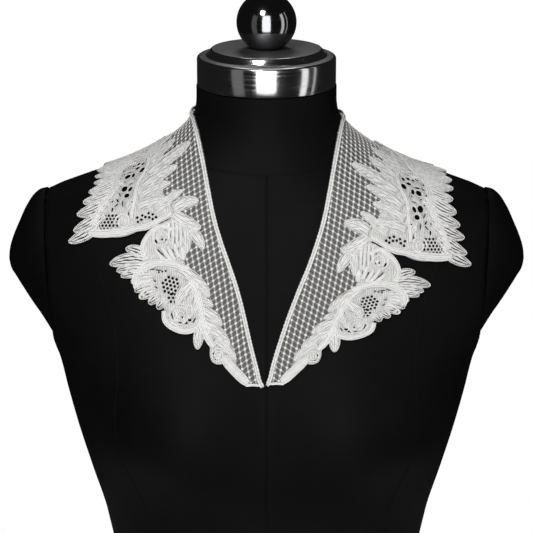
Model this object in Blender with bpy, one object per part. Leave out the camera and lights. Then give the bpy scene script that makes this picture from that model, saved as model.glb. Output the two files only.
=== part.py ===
"""A lace collar with a V front, laid on a limbless dress form. Run with Blender 4.5.

The form stands on its flat underside at z = 0 with the axis of its neck on Z and its front towards -Y.
Sizes are millimetres up to make_object(), which turns them into metres.

The collar is made as it is cut. Each piece is drawn flat on a paper pattern, one pattern for both halves,
and is then laid on the form by the collar's middle line: a line that runs from the centre back over the
shoulder to the front. A place on the pattern is so far along that line and so far to its side, and on the
form it is as far along the same line and as far to its side, over the surface.
"""

import math
from collections import namedtuple

import bpy
import numpy as np
from mathutils import Vector
from mathutils.geometry import delaunay_2d_cdt

MM = 0.001

# Layers above the form's surface, and the gap that neighbouring pieces keep
SEAM_GAP = 0.3
NET_CLEARANCE = 0.75
NET_THICKNESS = 1.0
LACE_THICKNESS = 1.1
TAPE_THICKNESS = 1.3
LACE_LIFT = 0.55
LACE_JOIN = 1.1
JOIN_STEP = 8.0
NET_TOP = NET_CLEARANCE + NET_THICKNESS
LACE_UNDERSIDE = NET_TOP + LACE_LIFT
RELIEF = 0.9

# The dress form
FORM_SEGMENTS = 44
FORM_TOP = 529.2
WAIST_RINGS = (100.0, 115.0, 145.0, 160.0)
BASE_ROUND = 4.0
BASE_INSET = 0.985
FRONT_BLEND = 60.0

FormSection = namedtuple("FormSection", "height half_width front back squareness")
FORM_SECTIONS = (
    FormSection(0, 154, 104, 108, 2.2),
    FormSection(60, 140, 98, 102, 2.2),
    FormSection(130, 119, 90, 88, 2.2),
    FormSection(186, 127.5, 95, 88, 2.2),
    FormSection(228, 139.5, 101, 92, 2.25),
    FormSection(266, 150, 107, 97, 2.3),
    FormSection(290, 156, 108, 100, 2.3),
    FormSection(320, 163, 106, 103, 2.3),
    FormSection(350, 177, 102, 104, 2.3),
    FormSection(385, 187, 96, 103, 2.2),
    FormSection(411, 188, 89, 99, 2.1),
    FormSection(431, 184, 82, 93, 2.05),
    FormSection(441, 177, 77.5, 87, 2.0),
    FormSection(446, 169, 75, 84, 2.0),
    FormSection(451, 156, 73, 81, 2.0),
    FormSection(456, 142, 70.5, 78, 2.0),
    FormSection(461, 126, 68, 74, 2.0),
    FormSection(467, 110, 65.5, 70, 2.0),
    FormSection(473, 97, 63, 66.5, 2.0),
    FormSection(479, 86, 61, 63, 2.0),
    FormSection(486, 75.5, 59, 60, 2.0),
    FormSection(494, 65.5, 57, 57.5, 2.0),
    FormSection(502, 58.5, 55.3, 55.5, 2.0),
    FormSection(511, 54.5, 54, 54, 2.0),
    FormSection(520, 53.5, 53.5, 53.5, 2.0),
    FormSection(540, 53.5, 53.5, 53.5, 2.0),
)

# The fullness that the front's darts give
BUST_X = 72.0
BUST_HEIGHT = 278.0
BUST_RISE = 20.0
BUST_SPREAD = 52.0
BUST_ABOVE = 0.6
BUST_BELOW = 1.3

# The flat armhole face of the body, which leans in towards the underarm
ARMHOLE_HALF_WIDTH = 163.5
ARMHOLE_LOW = 328.0
ARMHOLE_LEAN = 6.5 / 117.0
ARM_CAP_SEGMENTS = 24
ARM_CAP_CENTRE_Y = 2.0
ARM_CAP_HALF_DEPTH = 51.0

ArmCapSection = namedtuple("ArmCapSection", "out low high")
ARM_CAP_SECTIONS = (
    ArmCapSection(SEAM_GAP, 328.5, 447),
    ArmCapSection(5, 337, 446),
    ArmCapSection(10, 346, 442.5),
    ArmCapSection(17, 357, 433),
    ArmCapSection(23, 367, 421.5),
    ArmCapSection(29, 377.5, 409),
    ArmCapSection(32.5, 384, 399),
)
ARM_CAP_APEX = ArmCapSection(33.8, 391, 391)

# The polished cap that closes the neck, and the ball on it: radius and height of each turned profile
TURNED_SEGMENTS = 28
CapProfile = namedtuple("CapProfile", "radius height")
NECK_CAP_PROFILE = (
    CapProfile(52.0, 529.5),
    CapProfile(53.0, 530.5),
    CapProfile(53.0, 550.0),
    CapProfile(52.4, 551.4),
    CapProfile(51.0, 552.0),
    CapProfile(46.5, 552.4),
    CapProfile(44.9, 552.9),
    CapProfile(44.4, 553.6),
    CapProfile(42.6, 556.8),
    CapProfile(41.2, 557.6),
)
BALL_RADIUS = 22.8
BALL_FOOT_RADIUS = 11.2
BALL_FOOT_HEIGHT = 0.4
BALL_WAIST_RADIUS = 12.0
BALL_SEAT = NECK_CAP_PROFILE[-1].height + SEAM_GAP
BALL_RINGS = 10

# The collar's middle line on the form, from the centre back over the shoulder to the front
GuidePoint = namedtuple("GuidePoint", "x y z")
MIDDLE_LINE = (
    GuidePoint(0, 72, 482),
    GuidePoint(34, 66, 482),
    GuidePoint(62, 44, 482),
    GuidePoint(77, 10, 483),
    GuidePoint(77, -26, 477),
    GuidePoint(72, -54, 462),
    GuidePoint(63, -76, 438),
    GuidePoint(51, -91, 408),
    GuidePoint(38, -100, 376),
    GuidePoint(25, -106, 344),
    GuidePoint(12, -110, 312),
    GuidePoint(0, -112, 282),
)
ALONG_STEP = 3.0
ASIDE_STEP = 2.5
ASIDE_IN = 70.0
ASIDE_OUT = 150.0
FAN_FROM = -20.0
FAN_TO = 100.0
PATTERN_SLANT = math.radians(-68.0)
PATTERN_TOP_Y = -26.0
PATTERN_ZERO_Z = 312.0

# The right half was pinned on lower than the left: how far its lace slips, and where it starts and fades
RIGHT_SLIP = (-2.5, -16.0)
SLIP_START = 12.0
SLIP_FULL = 122.0
SLIP_FADE_ALONG = 90.0
# How far the whole collar was pinned on towards the right at the shoulders, and at the V
LEAN_SHOULDER = 1.9
LEAN_V = -1.5
LEAN_FADE_ALONG = 90.0
LEAN_TURNS = (240.0, 325.0)

# Paper pattern: x to the right and y up, millimetres, for the half on the left of the front view.
PatternPoint = namedtuple("PatternPoint", "x y")
NECK_EDGE = (
    PatternPoint(-39.5, 302.5),
    PatternPoint(-51.5, 288.5),
    PatternPoint(-59.0, 270.5),
    PatternPoint(-60.5, 250),
    PatternPoint(-56, 232),
    PatternPoint(-50, 218),
    PatternPoint(-46, 204),
    PatternPoint(-42, 188),
    PatternPoint(-37.5, 168.5),
    PatternPoint(-33, 151),
    PatternPoint(-27.5, 131),
    PatternPoint(-20, 109.5),
    PatternPoint(-11, 86),
    PatternPoint(-4.5, 66.5),
    PatternPoint(1.5, 46),
    PatternPoint(7, 27),
    PatternPoint(9.4, 17.5),
    PatternPoint(11.7, 12.6),
)
# Where the net ends under the lace, from the V back up to the shoulder
NET_OUTER_EDGE = (
    PatternPoint(-2, 12.5),
    PatternPoint(-12, 26),
    PatternPoint(-24, 42),
    PatternPoint(-34, 58),
    PatternPoint(-41, 71),
    PatternPoint(-48, 82),
    PatternPoint(-57.5, 92),
    PatternPoint(-63, 105),
    PatternPoint(-65, 120),
    PatternPoint(-71, 133),
    PatternPoint(-80, 145),
    PatternPoint(-87.5, 157),
    PatternPoint(-88, 172),
    PatternPoint(-88, 187),
    PatternPoint(-94, 205),
)
NET_BACK_WIDTH = 34.0
NET_BACK_STEPS = 12
NET_GRID = 12.5
NET_EDGE_STEP = 12.0
TAPE_WIDTH = 3.4
TAPE_STEP = 9.0


def monotone_slopes(at, values):
    """Slopes of a smooth curve through the values that never swings past them."""
    step = np.diff(at)
    rise = np.diff(values) / step
    slopes = np.zeros_like(values)
    slopes[0], slopes[-1] = rise[0], rise[-1]
    for i in range(1, len(values) - 1):
        if rise[i - 1] * rise[i] > 0:
            before, after = 2 * step[i] + step[i - 1], step[i] + 2 * step[i - 1]
            slopes[i] = (before + after) / (before / rise[i - 1] + after / rise[i])
    return slopes


class SmoothTable:
    """Rows of a table, read at any value of their first column."""

    def __init__(self, rows):
        table = np.array(rows, float)
        self.at = table[:, 0]
        self.columns = table[:, 1:].T
        self.slopes = [monotone_slopes(self.at, column) for column in self.columns]

    def read(self, where):
        """Every other column at the given places, one array for each column."""
        where = np.clip(where, self.at[0], self.at[-1])
        i = np.clip(np.searchsorted(self.at, where, side="right") - 1, 0, len(self.at) - 2)
        step = self.at[i + 1] - self.at[i]
        t = (where - self.at[i]) / step
        start, lead_out = (1 + 2 * t) * (1 - t) ** 2, t * (1 - t) ** 2 * step
        end, lead_in = t * t * (3 - 2 * t), t * t * (t - 1) * step
        return [
            start * values[i] + lead_out * slopes[i] + end * values[i + 1] + lead_in * slopes[i + 1]
            for values, slopes in zip(self.columns, self.slopes)
        ]


FORM = SmoothTable(FORM_SECTIONS)
ARM_CAP = SmoothTable(ARM_CAP_SECTIONS + (ARM_CAP_APEX,))


def smooth_step(t):
    """0 below 0, 1 above 1, and an even rise between them."""
    t = np.clip(t, 0.0, 1.0)
    return t * t * (3 - 2 * t)


def bust_fullness(x, z):
    """How far the front stands forward of its plain section."""
    tall = np.where(z > BUST_HEIGHT, BUST_ABOVE, BUST_BELOW)
    reach = ((np.abs(x) - BUST_X) ** 2 + tall * (z - BUST_HEIGHT) ** 2) / BUST_SPREAD**2
    return BUST_RISE * np.exp(-reach)


def form_gap(points):
    """Below zero inside the form, zero on its surface, above zero outside."""
    x, y, z = points[..., 0], points[..., 1], points[..., 2]
    half_width, front, back, power = FORM.read(z)
    y = y + bust_fullness(x, z) * smooth_step(-y / FRONT_BLEND)
    depth = np.where(y < 0, front, back)
    return (np.abs(x / half_width) ** power + np.abs(y / depth) ** power) ** (1 / power) - 1


def form_gradient(points):
    """How the gap grows along each axis."""
    nudge = 0.05
    sides = [form_gap(points + d) - form_gap(points - d) for d in np.eye(3) * nudge]
    return np.stack(sides, -1) / (2 * nudge)


def onto_form(points, rounds=4):
    """The points, moved along the surface's normal onto the form."""
    points = np.array(points, float)
    for _ in range(rounds):
        gradient = form_gradient(points)
        points -= form_gap(points)[..., None] * gradient / (gradient**2).sum(-1, keepdims=True)
    return points


def unit(vectors):
    """The vectors at length 1."""
    return vectors / np.linalg.norm(vectors, axis=-1, keepdims=True)


def form_normals(points):
    """Directions straight out of the form's surface."""
    return unit(form_gradient(points))


def smooth_line(points, step):
    """A curve through the points, with a new point at every step along it."""
    points = np.array(points, float)
    padded = np.vstack([2 * points[0] - points[1], points, 2 * points[-1] - points[-2]])
    pieces = []
    for a, b, c, d in zip(padded, padded[1:], padded[2:], padded[3:]):
        t = np.linspace(0, 1, 20, endpoint=False)[:, None]
        bend = (2 * a - 5 * b + 4 * c - d) * t**2 + (3 * b - a - 3 * c + d) * t**3
        pieces.append(0.5 * (2 * b + (c - a) * t + bend))
    curve = np.vstack(pieces + [points[-1:]])
    return evenly_spaced(curve, step)


def evenly_spaced(curve, step):
    """The same curve with even steps between its points."""
    length = np.concatenate([[0], np.cumsum(np.linalg.norm(np.diff(curve, axis=0), axis=1))])
    wanted = np.linspace(0, length[-1], max(1, round(length[-1] / step)) + 1)
    return np.stack([np.interp(wanted, length, axis) for axis in curve.T], -1)


def averaged(values, rounds):
    """The values, each evened out with its neighbours so many times."""
    values = values.copy()
    for _ in range(rounds):
        values[1:-1] = 0.25 * values[:-2] + 0.5 * values[1:-1] + 0.25 * values[2:]
    return values


class Drape:
    """Lays the paper pattern on the form along the collar's middle line."""

    def __init__(self):
        self.middle = self.middle_on_form()
        self.along = np.arange(len(self.middle)) * self.step_length()
        self.rows = self.march()
        self.pattern_line()

    def middle_on_form(self):
        """The middle line with even steps, starting square at the centre back."""
        guide = np.array(MIDDLE_LINE, float)
        behind = guide[1:3][::-1] * [-1, 1, 1]
        line = smooth_line(np.vstack([behind, guide]), 1.0)
        line = line[np.argmax(line[:, 0] > 0) - 1 :]
        cross = line[0, 0] / (line[0, 0] - line[1, 0])
        line[0] = line[0] * (1 - cross) + line[1] * cross
        line = onto_form(averaged(onto_form(line), 60))
        return onto_form(evenly_spaced(line, ALONG_STEP))

    def step_length(self):
        """The true length of one step along the middle line."""
        return float(np.linalg.norm(np.diff(self.middle, axis=0), axis=1).mean())

    def march(self):
        """Rows of points that leave the middle line square, on the side of the neck and away from it."""
        normals = form_normals(self.middle)
        ahead = np.gradient(self.middle, axis=0)
        ahead[0] = (1, 0, 0)
        ahead = unit(ahead - (ahead * normals).sum(1, keepdims=True) * normals)
        outward = np.cross(ahead, normals)
        outward *= np.sign(outward[len(outward) // 2, 0])
        outward[0, 0] = 0
        outward = unit(outward)
        inner = self.straight_rows(-outward, round(ASIDE_IN / ASIDE_STEP))
        outer = self.straight_rows(outward, round(ASIDE_OUT / ASIDE_STEP))
        self.aside = np.arange(-len(inner), len(outer) + 1) * ASIDE_STEP
        return np.stack(inner[::-1] + [self.middle] + outer, 1)

    def straight_rows(self, heading, count):
        """Points at each step along straight paths over the surface."""
        rows, here = [], self.middle
        for _ in range(count):
            there = onto_form(here + heading * ASIDE_STEP, 3)
            normals = form_normals(there)
            heading = there - here
            heading = unit(heading - (heading * normals).sum(1, keepdims=True) * normals)
            rows.append(there)
            here = there
        return rows

    def pattern_line(self):
        """The middle line on paper, bent so that the paper fans out as the form does."""
        step = self.step_length()
        spread = np.linalg.norm(np.diff(self.rows, axis=0), axis=2) / step - 1
        near = (self.aside >= FAN_FROM) & (self.aside < FAN_TO)
        aside = self.aside[near]
        fan = averaged((spread[:, near] * aside).sum(1) / (aside**2).sum(), 48)
        turn = np.concatenate([[0], np.cumsum(fan * step)])
        front = self.middle[:, 1] < 0
        top = int(np.argmin(np.abs(self.middle[:, 1] - PATTERN_TOP_Y)))
        zero = int(np.argmin(np.where(front, np.abs(self.middle[:, 2] - PATTERN_ZERO_Z), np.inf)))
        run = self.walk(turn, step)[1]
        chord = run[zero] - run[top]
        turn += PATTERN_SLANT - math.atan2(chord[1], chord[0])
        self.paper_ahead, paper = self.walk(turn, step)
        self.paper = paper - paper[zero]
        self.paper_out = np.stack([self.paper_ahead[:, 1], -self.paper_ahead[:, 0]], -1)

    @staticmethod
    def walk(turn, step):
        """Headings and places of a walk of even steps with the given turns."""
        ahead = np.stack([np.cos(turn), np.sin(turn)], -1)
        strides = 0.5 * (ahead[1:] + ahead[:-1]) * step
        return ahead, np.vstack([[0, 0], np.cumsum(strides, axis=0)])

    def measure(self, pattern):
        """How far along the middle line and how far to its side each place on paper is."""
        offset = pattern[:, None, :] - self.paper[None]
        ahead = (offset * self.paper_ahead[None]).sum(-1)
        nearest = np.linalg.norm(offset, axis=2).argmin(1)
        row = np.arange(len(pattern))
        i = np.where(ahead[row, nearest] >= 0, nearest, nearest - 1)
        i = np.clip(i, 0, len(self.paper) - 2)
        t = ahead[row, i] / (ahead[row, i] - ahead[row, i + 1])
        base = self.paper[i] * (1 - t)[:, None] + self.paper[i + 1] * t[:, None]
        out = unit(self.paper_out[i] * (1 - t)[:, None] + self.paper_out[i + 1] * t[:, None])
        aside = ((pattern - base) * out).sum(-1)
        return (i + t) * self.step_length(), aside

    def on_paper(self, along, aside):
        """The place on paper that is so far along the middle line and so far to its side."""
        at = np.clip(along / self.step_length(), 0, len(self.paper) - 1.001)
        i = int(at)
        t = at - i
        base = self.paper[i] * (1 - t) + self.paper[i + 1] * t
        out = unit(self.paper_out[i] * (1 - t) + self.paper_out[i + 1] * t)
        return base + out * aside

    def lay(self, pattern, height, side, slips):
        """Places on paper, laid on the form at a height above it. The side is -1 or 1."""
        pattern = np.array(pattern, float)
        along, aside = self.measure(pattern)
        if slips and side > 0:
            amount = smooth_step((pattern[:, 1] - SLIP_START) / (SLIP_FULL - SLIP_START))
            amount = amount * smooth_step(along / SLIP_FADE_ALONG)
            along, aside = self.measure(pattern + amount[:, None] * np.array(RIGHT_SLIP))
        turn = smooth_step((along - LEAN_TURNS[0]) / (LEAN_TURNS[1] - LEAN_TURNS[0]))
        lean = LEAN_SHOULDER + (LEAN_V - LEAN_SHOULDER) * turn
        aside = aside + side * lean * smooth_step(along / LEAN_FADE_ALONG)
        a = np.clip(along / self.step_length(), 0, len(self.along) - 1.0001)
        b = np.clip((aside - self.aside[0]) / ASIDE_STEP, 0, len(self.aside) - 1.0001)
        i, j = a.astype(int), b.astype(int)
        s, t = (a - i)[:, None], (b - j)[:, None]
        rows = self.rows
        points = (1 - s) * ((1 - t) * rows[i, j] + t * rows[i, j + 1])
        points = points + s * ((1 - t) * rows[i + 1, j] + t * rows[i + 1, j + 1])
        points = onto_form(points, 2)
        points = points + form_normals(points) * np.reshape(height, (-1, 1))
        points[along < 1e-6, 0] = 0
        return points * [side, 1, 1]


def arm_plane(height):
    """Half the body's width at the flat armhole face."""
    return ARMHOLE_HALF_WIDTH + ARMHOLE_LEAN * np.maximum(height - ARMHOLE_LOW, 0)


def form_ring(height, segments, scale=1.0):
    """One section of the body, cut off flat at the armholes."""
    angles = np.arange(segments) * 2 * math.pi / segments
    half_width, front, back, power = (float(v) for v in FORM.read(np.array(height, float)))
    across, deep = np.cos(angles), np.sin(angles)
    x = half_width * np.sign(across) * np.abs(across) ** (2 / power)
    y = np.where(deep < 0, front, back) * np.sign(deep) * np.abs(deep) ** (2 / power)
    y = y - bust_fullness(x, height) * smooth_step(-y / FRONT_BLEND)
    x = np.clip(x, -arm_plane(height), arm_plane(height))
    return np.stack([x * scale, y * scale, np.full(segments, float(height))], -1)


def loft(rings):
    """Points and faces of a closed solid through rings of as many points, from the lowest up."""
    count = len(rings[0])
    points = np.vstack(rings)
    faces = [list(range(count))[::-1]]
    for r in range(len(rings) - 1):
        low, high = r * count, (r + 1) * count
        for i in range(count):
            j = (i + 1) % count
            faces.append([low + i, low + j, high + j, high + i])
    last = (len(rings) - 1) * count
    faces.append([last + i for i in range(count)])
    return points, faces


def turned_ring(radius, height, segments=TURNED_SEGMENTS):
    """A level circle about the neck's axis."""
    angles = np.arange(segments) * 2 * math.pi / segments
    return np.stack([radius * np.cos(angles), radius * np.sin(angles), np.full(segments, float(height))], -1)


def make_object(name, points, faces, material):
    """A mesh object from points in millimetres."""
    mesh = bpy.data.meshes.new(name)
    mesh.from_pydata([tuple(p) for p in np.array(points) * MM], [], [list(f) for f in faces])
    mesh.materials.append(material)
    mesh.validate()
    mesh.update()
    obj = bpy.data.objects.new(name, mesh)
    bpy.context.scene.collection.objects.link(obj)
    return obj


def make_material(name, colour, roughness, metallic=0.0):
    """A plain Principled material."""
    material = bpy.data.materials.new(name)
    material.use_nodes = True
    shader = material.node_tree.nodes["Principled BSDF"]
    shader.inputs["Base Color"].default_value = (*colour, 1.0)
    shader.inputs["Roughness"].default_value = roughness
    shader.inputs["Metallic"].default_value = metallic
    return material


# Motifs of the lace, drawn on the pattern. A leaf runs from its root to its tip, and bends to one side.
Leaf = namedtuple("Leaf", "root_x root_y tip_x tip_y width bend")
Disc = namedtuple("Disc", "x y radius")
BandPoint = namedtuple("BandPoint", "x y width")
Hole = namedtuple("Hole", "x y width height turn")

SHOULDER_LEAVES = (
    # the feathered outer edge, from the shoulder down to its long finger
    Leaf(-108, 221, -138, 219, 13, 2),
    Leaf(-106, 208, -140, 206, 13, 2),
    Leaf(-107, 197, -138, 192.5, 12, 2),
    Leaf(-108, 187, -135.5, 180.5, 12, 2),
    Leaf(-108, 177, -131, 168, 11, 2),
    Leaf(-109, 168, -131.5, 157, 11, 2),
    Leaf(-110, 158, -133.5, 147.5, 10, 2),
    Leaf(-112, 149, -137, 138, 10, 2),
    Leaf(-115, 139, -139, 126, 10, 2),
    Leaf(-118, 129, -143, 117.5, 9, 1),
    # the leaves that point to the neck over the net
    Leaf(-62, 142, -43, 149.5, 9.5, 1.5),
    Leaf(-68, 147, -56, 157, 6, 0.5),
    Leaf(-62, 139, -40, 128, 10, -1.5),
    Leaf(-89.5, 151, -66, 163.5, 9, 1.5),
    Leaf(-89, 160, -63, 178, 11, 1.5),
    Leaf(-87, 173, -54, 197, 12.5, 1.5),
    Leaf(-89, 188, -71, 206, 11, 1.5),
    Leaf(-96, 203, -77, 219, 9.5, 1),
)
SHOULDER_BANDS = (
    (
        BandPoint(-127, 123.5, 6),
        BandPoint(-118, 123, 8),
        BandPoint(-108, 123.5, 9),
        BandPoint(-98, 124.5, 9),
        BandPoint(-89, 128, 8),
        BandPoint(-81, 130.5, 7),
        BandPoint(-73, 134, 5),
        BandPoint(-62, 139, 6),
    ),
    (
        BandPoint(-108, 236, 9),
        BandPoint(-108, 218, 8),
        BandPoint(-104, 202, 7),
        BandPoint(-111, 189, 8),
        BandPoint(-113, 174, 8),
        BandPoint(-107, 163, 7),
        BandPoint(-109, 152, 6),
        BandPoint(-117, 140, 6),
        BandPoint(-121, 128, 5),
    ),
)
SHOULDER_DISCS = (Disc(-98.5, 132.5, 7.5), Disc(-94, 143.5, 6.5), Disc(-100, 157, 9), Disc(-101, 181, 11))
SHOULDER_GROUND = (
    PatternPoint(-123, 124),
    PatternPoint(-110, 121.5),
    PatternPoint(-98, 122),
    PatternPoint(-86, 127),
    PatternPoint(-66, 136),
    PatternPoint(-64, 147),
    PatternPoint(-78, 152),
    PatternPoint(-82, 168),
    PatternPoint(-84, 186),
    PatternPoint(-90, 205),
    PatternPoint(-94, 236),
    PatternPoint(-117, 236),
    PatternPoint(-117, 190),
    PatternPoint(-116, 168),
    PatternPoint(-118, 148),
)
SHOULDER_HOLES = (
    Hole(-102.6, 158.8, 4.4, 5.8, 10),
    Hole(-97.6, 158.2, 3.2, 4.8, -15),
    Hole(-99.0, 152.4, 4.0, 3.8, 20),
    Hole(-104.2, 172.4, 4.6, 4.4, 0),
    Hole(-99.0, 173.4, 3.0, 4.2, 20),
    Hole(-107.6, 178.6, 3.6, 3.4, 30),
    Hole(-106.6, 187.2, 4.0, 3.2, 0),
    Hole(-100.8, 187.0, 3.8, 3.6, 0),
    Hole(-95.2, 186.2, 3.4, 3.8, 0),
    Hole(-93.2, 178.8, 4.2, 5.0, -10),
    Hole(-113.4, 134.6, 4.0, 4.4, 20),
    Hole(-106.8, 129.4, 4.6, 3.6, 10),
    Hole(-84.6, 134.6, 4.6, 3.4, 30),
    Hole(-76.6, 133.4, 3.6, 4.2, 0),
    Hole(-127.6, 133.6, 6.0, 2.2, 35),
    Hole(-136.4, 118.8, 4.4, 2.2, 15),
)

FRONT_LEAVES = (
    # the plume at the outer side
    Leaf(-80, 107, -96, 112.5, 8, -1),
    Leaf(-78, 103, -108.5, 101, 10, -2),
    Leaf(-80, 98.5, -103, 96, 8, -1),
    Leaf(-82, 95, -99.5, 92, 7, -1),
    # the lobes below it
    Leaf(-72, 92, -91.5, 87.5, 10, -2),
    Leaf(-70, 87, -88.5, 81, 9, -2),
    Leaf(-66, 83, -84, 76, 9, -2),
    Leaf(-62, 79, -77.5, 72, 8, -1.5),
    Leaf(-59, 76, -71, 68.5, 8, -1),
    # the thin leaves that fan up to the scroll
    Leaf(-58, 99, -73.5, 113, 5, 1),
    Leaf(-57, 100, -67, 112, 4.5, 0.5),
    Leaf(-55, 101, -59.5, 116, 5.5, 0.5),
    # the leaves that hang over the net, and those beside it
    Leaf(-59, 133, -55, 109, 6.5, 0.5),
    Leaf(-53, 132, -47, 110, 7.5, 0.5),
    Leaf(-51, 133, -36, 113.5, 8.5, 1),
    Leaf(-54, 98, -32, 77.5, 10, 1.5),
    Leaf(-43, 90, -57, 70, 12, -2),
    Leaf(-39, 76, -28.5, 71, 5.5, 0.5),
    Leaf(-38, 71, -21.5, 54, 8.5, 1),
    Leaf(-35, 58, -15, 41.5, 9, 1),
    Leaf(-25, 46, -9, 29, 8, 1),
    Leaf(-38, 57, -39, 39.5, 7.5, 0),
)
FRONT_BANDS = (
    (
        BandPoint(-60, 128, 5),
        BandPoint(-70, 129, 5),
        BandPoint(-79, 122, 6),
        BandPoint(-83, 113, 6),
        BandPoint(-80, 104, 7),
    ),
    (
        BandPoint(-48, 97, 7),
        BandPoint(-58, 101, 8),
        BandPoint(-70, 102.5, 9),
        BandPoint(-81, 99, 10),
        BandPoint(-88, 91, 8),
        BandPoint(-87, 83, 6),
    ),
    (
        BandPoint(-66, 67, 4),
        BandPoint(-64, 59.5, 8),
        BandPoint(-57, 54.5, 9),
        BandPoint(-48, 52.5, 8),
        BandPoint(-40, 56, 8),
        BandPoint(-37, 64, 7),
        BandPoint(-40, 75, 7),
        BandPoint(-46, 90, 6),
    ),
    (
        BandPoint(-37, 62, 8),
        BandPoint(-33, 50, 9),
        BandPoint(-27, 42, 9),
        BandPoint(-20, 34, 9),
        BandPoint(-12.5, 26, 9),
        BandPoint(-5, 18.5, 8),
        BandPoint(0, 14, 4),
    ),
)
FRONT_DISCS = (Disc(-68.5, 117.5, 10), Disc(-52, 62.5, 9), Disc(-24, 34.5, 6.5), Disc(-84, 76.2, 2.6))
FRONT_GROUND = (
    PatternPoint(-60, 127),
    PatternPoint(-76, 123),
    PatternPoint(-82, 108),
    PatternPoint(-86, 92),
    PatternPoint(-82, 82),
    PatternPoint(-68, 73),
    PatternPoint(-60, 57),
    PatternPoint(-44, 54),
    PatternPoint(-38, 66),
    PatternPoint(-43, 88),
    PatternPoint(-50, 99),
    PatternPoint(-56, 110),
)
FRONT_HOLES = (
    Hole(-64.5, 91.5, 5.4, 3.4, -10),
    Hole(-57.4, 90.6, 4.4, 3.4, 0),
    Hole(-65, 84.6, 3.8, 4.6, 0),
    Hole(-59, 84.2, 4.2, 4.2, 0),
    Hole(-57.4, 77.4, 4.2, 3.6, 20),
    Hole(-46.6, 61.4, 4.4, 4.2, 0),
    Hole(-54.4, 69.6, 4.4, 2.4, 20),
    Hole(-81.2, 95.6, 5.4, 2.2, -40),
    Hole(-73.4, 117.6, 3.4, 4.4, 20),
    Hole(-89.4, 102.4, 5.0, 2.2, 0),
)

# How the three sprays of a half meet: the lines between them on the pattern
SHOULDER_SEAM = (PatternPoint(-40, 238), PatternPoint(-170, 212))
FRONT_SEAM = (
    PatternPoint(-120, 119.5),
    PatternPoint(-92, 119.5),
    PatternPoint(-78, 124.5),
    PatternPoint(-70, 131.5),
    PatternPoint(-58, 134.5),
    PatternPoint(-50, 133),
    PatternPoint(-43, 123.5),
    PatternPoint(-20, 116),
)

# The back of the border, set out along the middle line: places along it and aside from it
BACK_LOBES = 9
BACK_LOBE_LAST = 124.0
BACK_LOBE_ROOT = 26.0
BACK_LOBE_TIP = 58.0
BACK_LOBE_LEAN = 7.0
BACK_LOBE_WIDTH = 15.0
BACK_LEAF_ROOT = 24.0
BACK_LEAF_TIP = 3.0
BACK_LEAF_WIDTH = 8.5
BACK_GROUND_IN = 16.0
BACK_GROUND_OUT = 38.0
BACK_GROUND_LAST = 150.0
BACK_BAND_ASIDE = 27.0
BACK_BAND_WIDTH = 9.0

LEAF_STEPS = (0.0, 0.45, 0.82)
LEAF_RIDGE = (0.2, 0.7)
LEAF_ROOT_SHARE = 0.12
DISC_POINTS = 10
DISC_RIDGE = 0.55
DISC_RIDGE_POINTS = 6
BAND_STEP = 11.0
HOLE_POINTS = 6
LACE_GRID = 12.5
GRID_CLEAR = 6.0
LONGEST_EDGE = 13.5
REFINE_ROUNDS = 3
MERGE = 0.6


def leaf_half_width(leaf, t):
    """Half the leaf's width, so far from its root towards its round tip."""
    turn = math.pi * (LEAF_ROOT_SHARE + (1 - LEAF_ROOT_SHARE) * t)
    return 0.5 * leaf.width * np.sqrt(np.maximum(np.sin(turn), 0))


def leaf_frame(leaf):
    """The leaf's root, its run to the tip, and the direction to its left."""
    root = np.array([leaf.root_x, leaf.root_y], float)
    run = np.array([leaf.tip_x, leaf.tip_y], float) - root
    return root, run, np.array([-run[1], run[0]]) / np.linalg.norm(run)


class LeafShape:
    """A leaf or lobe of clothwork with a raised middle."""

    def __init__(self, leaf):
        self.leaf = leaf
        self.root, self.run, self.left = leaf_frame(leaf)

    def at(self, t, aside):
        """The place so far along the bent middle and so far to its left."""
        bend = self.leaf.bend * 4 * t * (1 - t)
        return self.root + self.run * t + self.left * (bend + aside)

    def outline(self):
        """The leaf's edge, anticlockwise."""
        right = [self.at(t, -leaf_half_width(self.leaf, t)) for t in LEAF_STEPS]
        left = [self.at(t, leaf_half_width(self.leaf, t)) for t in reversed(LEAF_STEPS)]
        return right + [self.at(1.0, 0.0)] + left

    def ridge(self):
        """The line of the leaf's raised middle."""
        return [self.at(t, 0.0) for t in LEAF_RIDGE]

    def rise(self, points):
        """How far the leaf stands up at each place, from 0 at its edge to 1 at its middle."""
        offset = points - self.root
        t = np.clip(offset @ self.run / (self.run @ self.run), 0, 1)
        aside = offset @ self.left - self.leaf.bend * 4 * t * (1 - t)
        half = np.maximum(leaf_half_width(self.leaf, t), 0.1)
        inside = (offset @ self.run >= -0.5) & (offset @ self.run <= self.run @ self.run)
        return np.where(inside, np.clip(1 - (aside / half) ** 2, 0, 1), 0)


class DiscShape:
    """A round scroll with a raised ring."""

    def __init__(self, disc):
        self.disc = disc
        self.centre = np.array([disc.x, disc.y], float)

    def circle(self, radius, count):
        """Points round a circle, anticlockwise."""
        angles = np.arange(count) * 2 * math.pi / count
        return [self.centre + radius * np.array([math.cos(a), math.sin(a)]) for a in angles]

    def outline(self):
        """The disc's edge."""
        return self.circle(self.disc.radius, DISC_POINTS)

    def ridge(self):
        """The top of the raised ring, closed."""
        ring = self.circle(self.disc.radius * DISC_RIDGE, DISC_RIDGE_POINTS)
        return ring + ring[:1]

    def rise(self, points):
        """How far the ring stands up at each place."""
        share = np.linalg.norm(points - self.centre, axis=1) / self.disc.radius
        return np.clip(1 - ((share - DISC_RIDGE) / (1 - DISC_RIDGE)) ** 2, 0, 1) * (share < 1)


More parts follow.
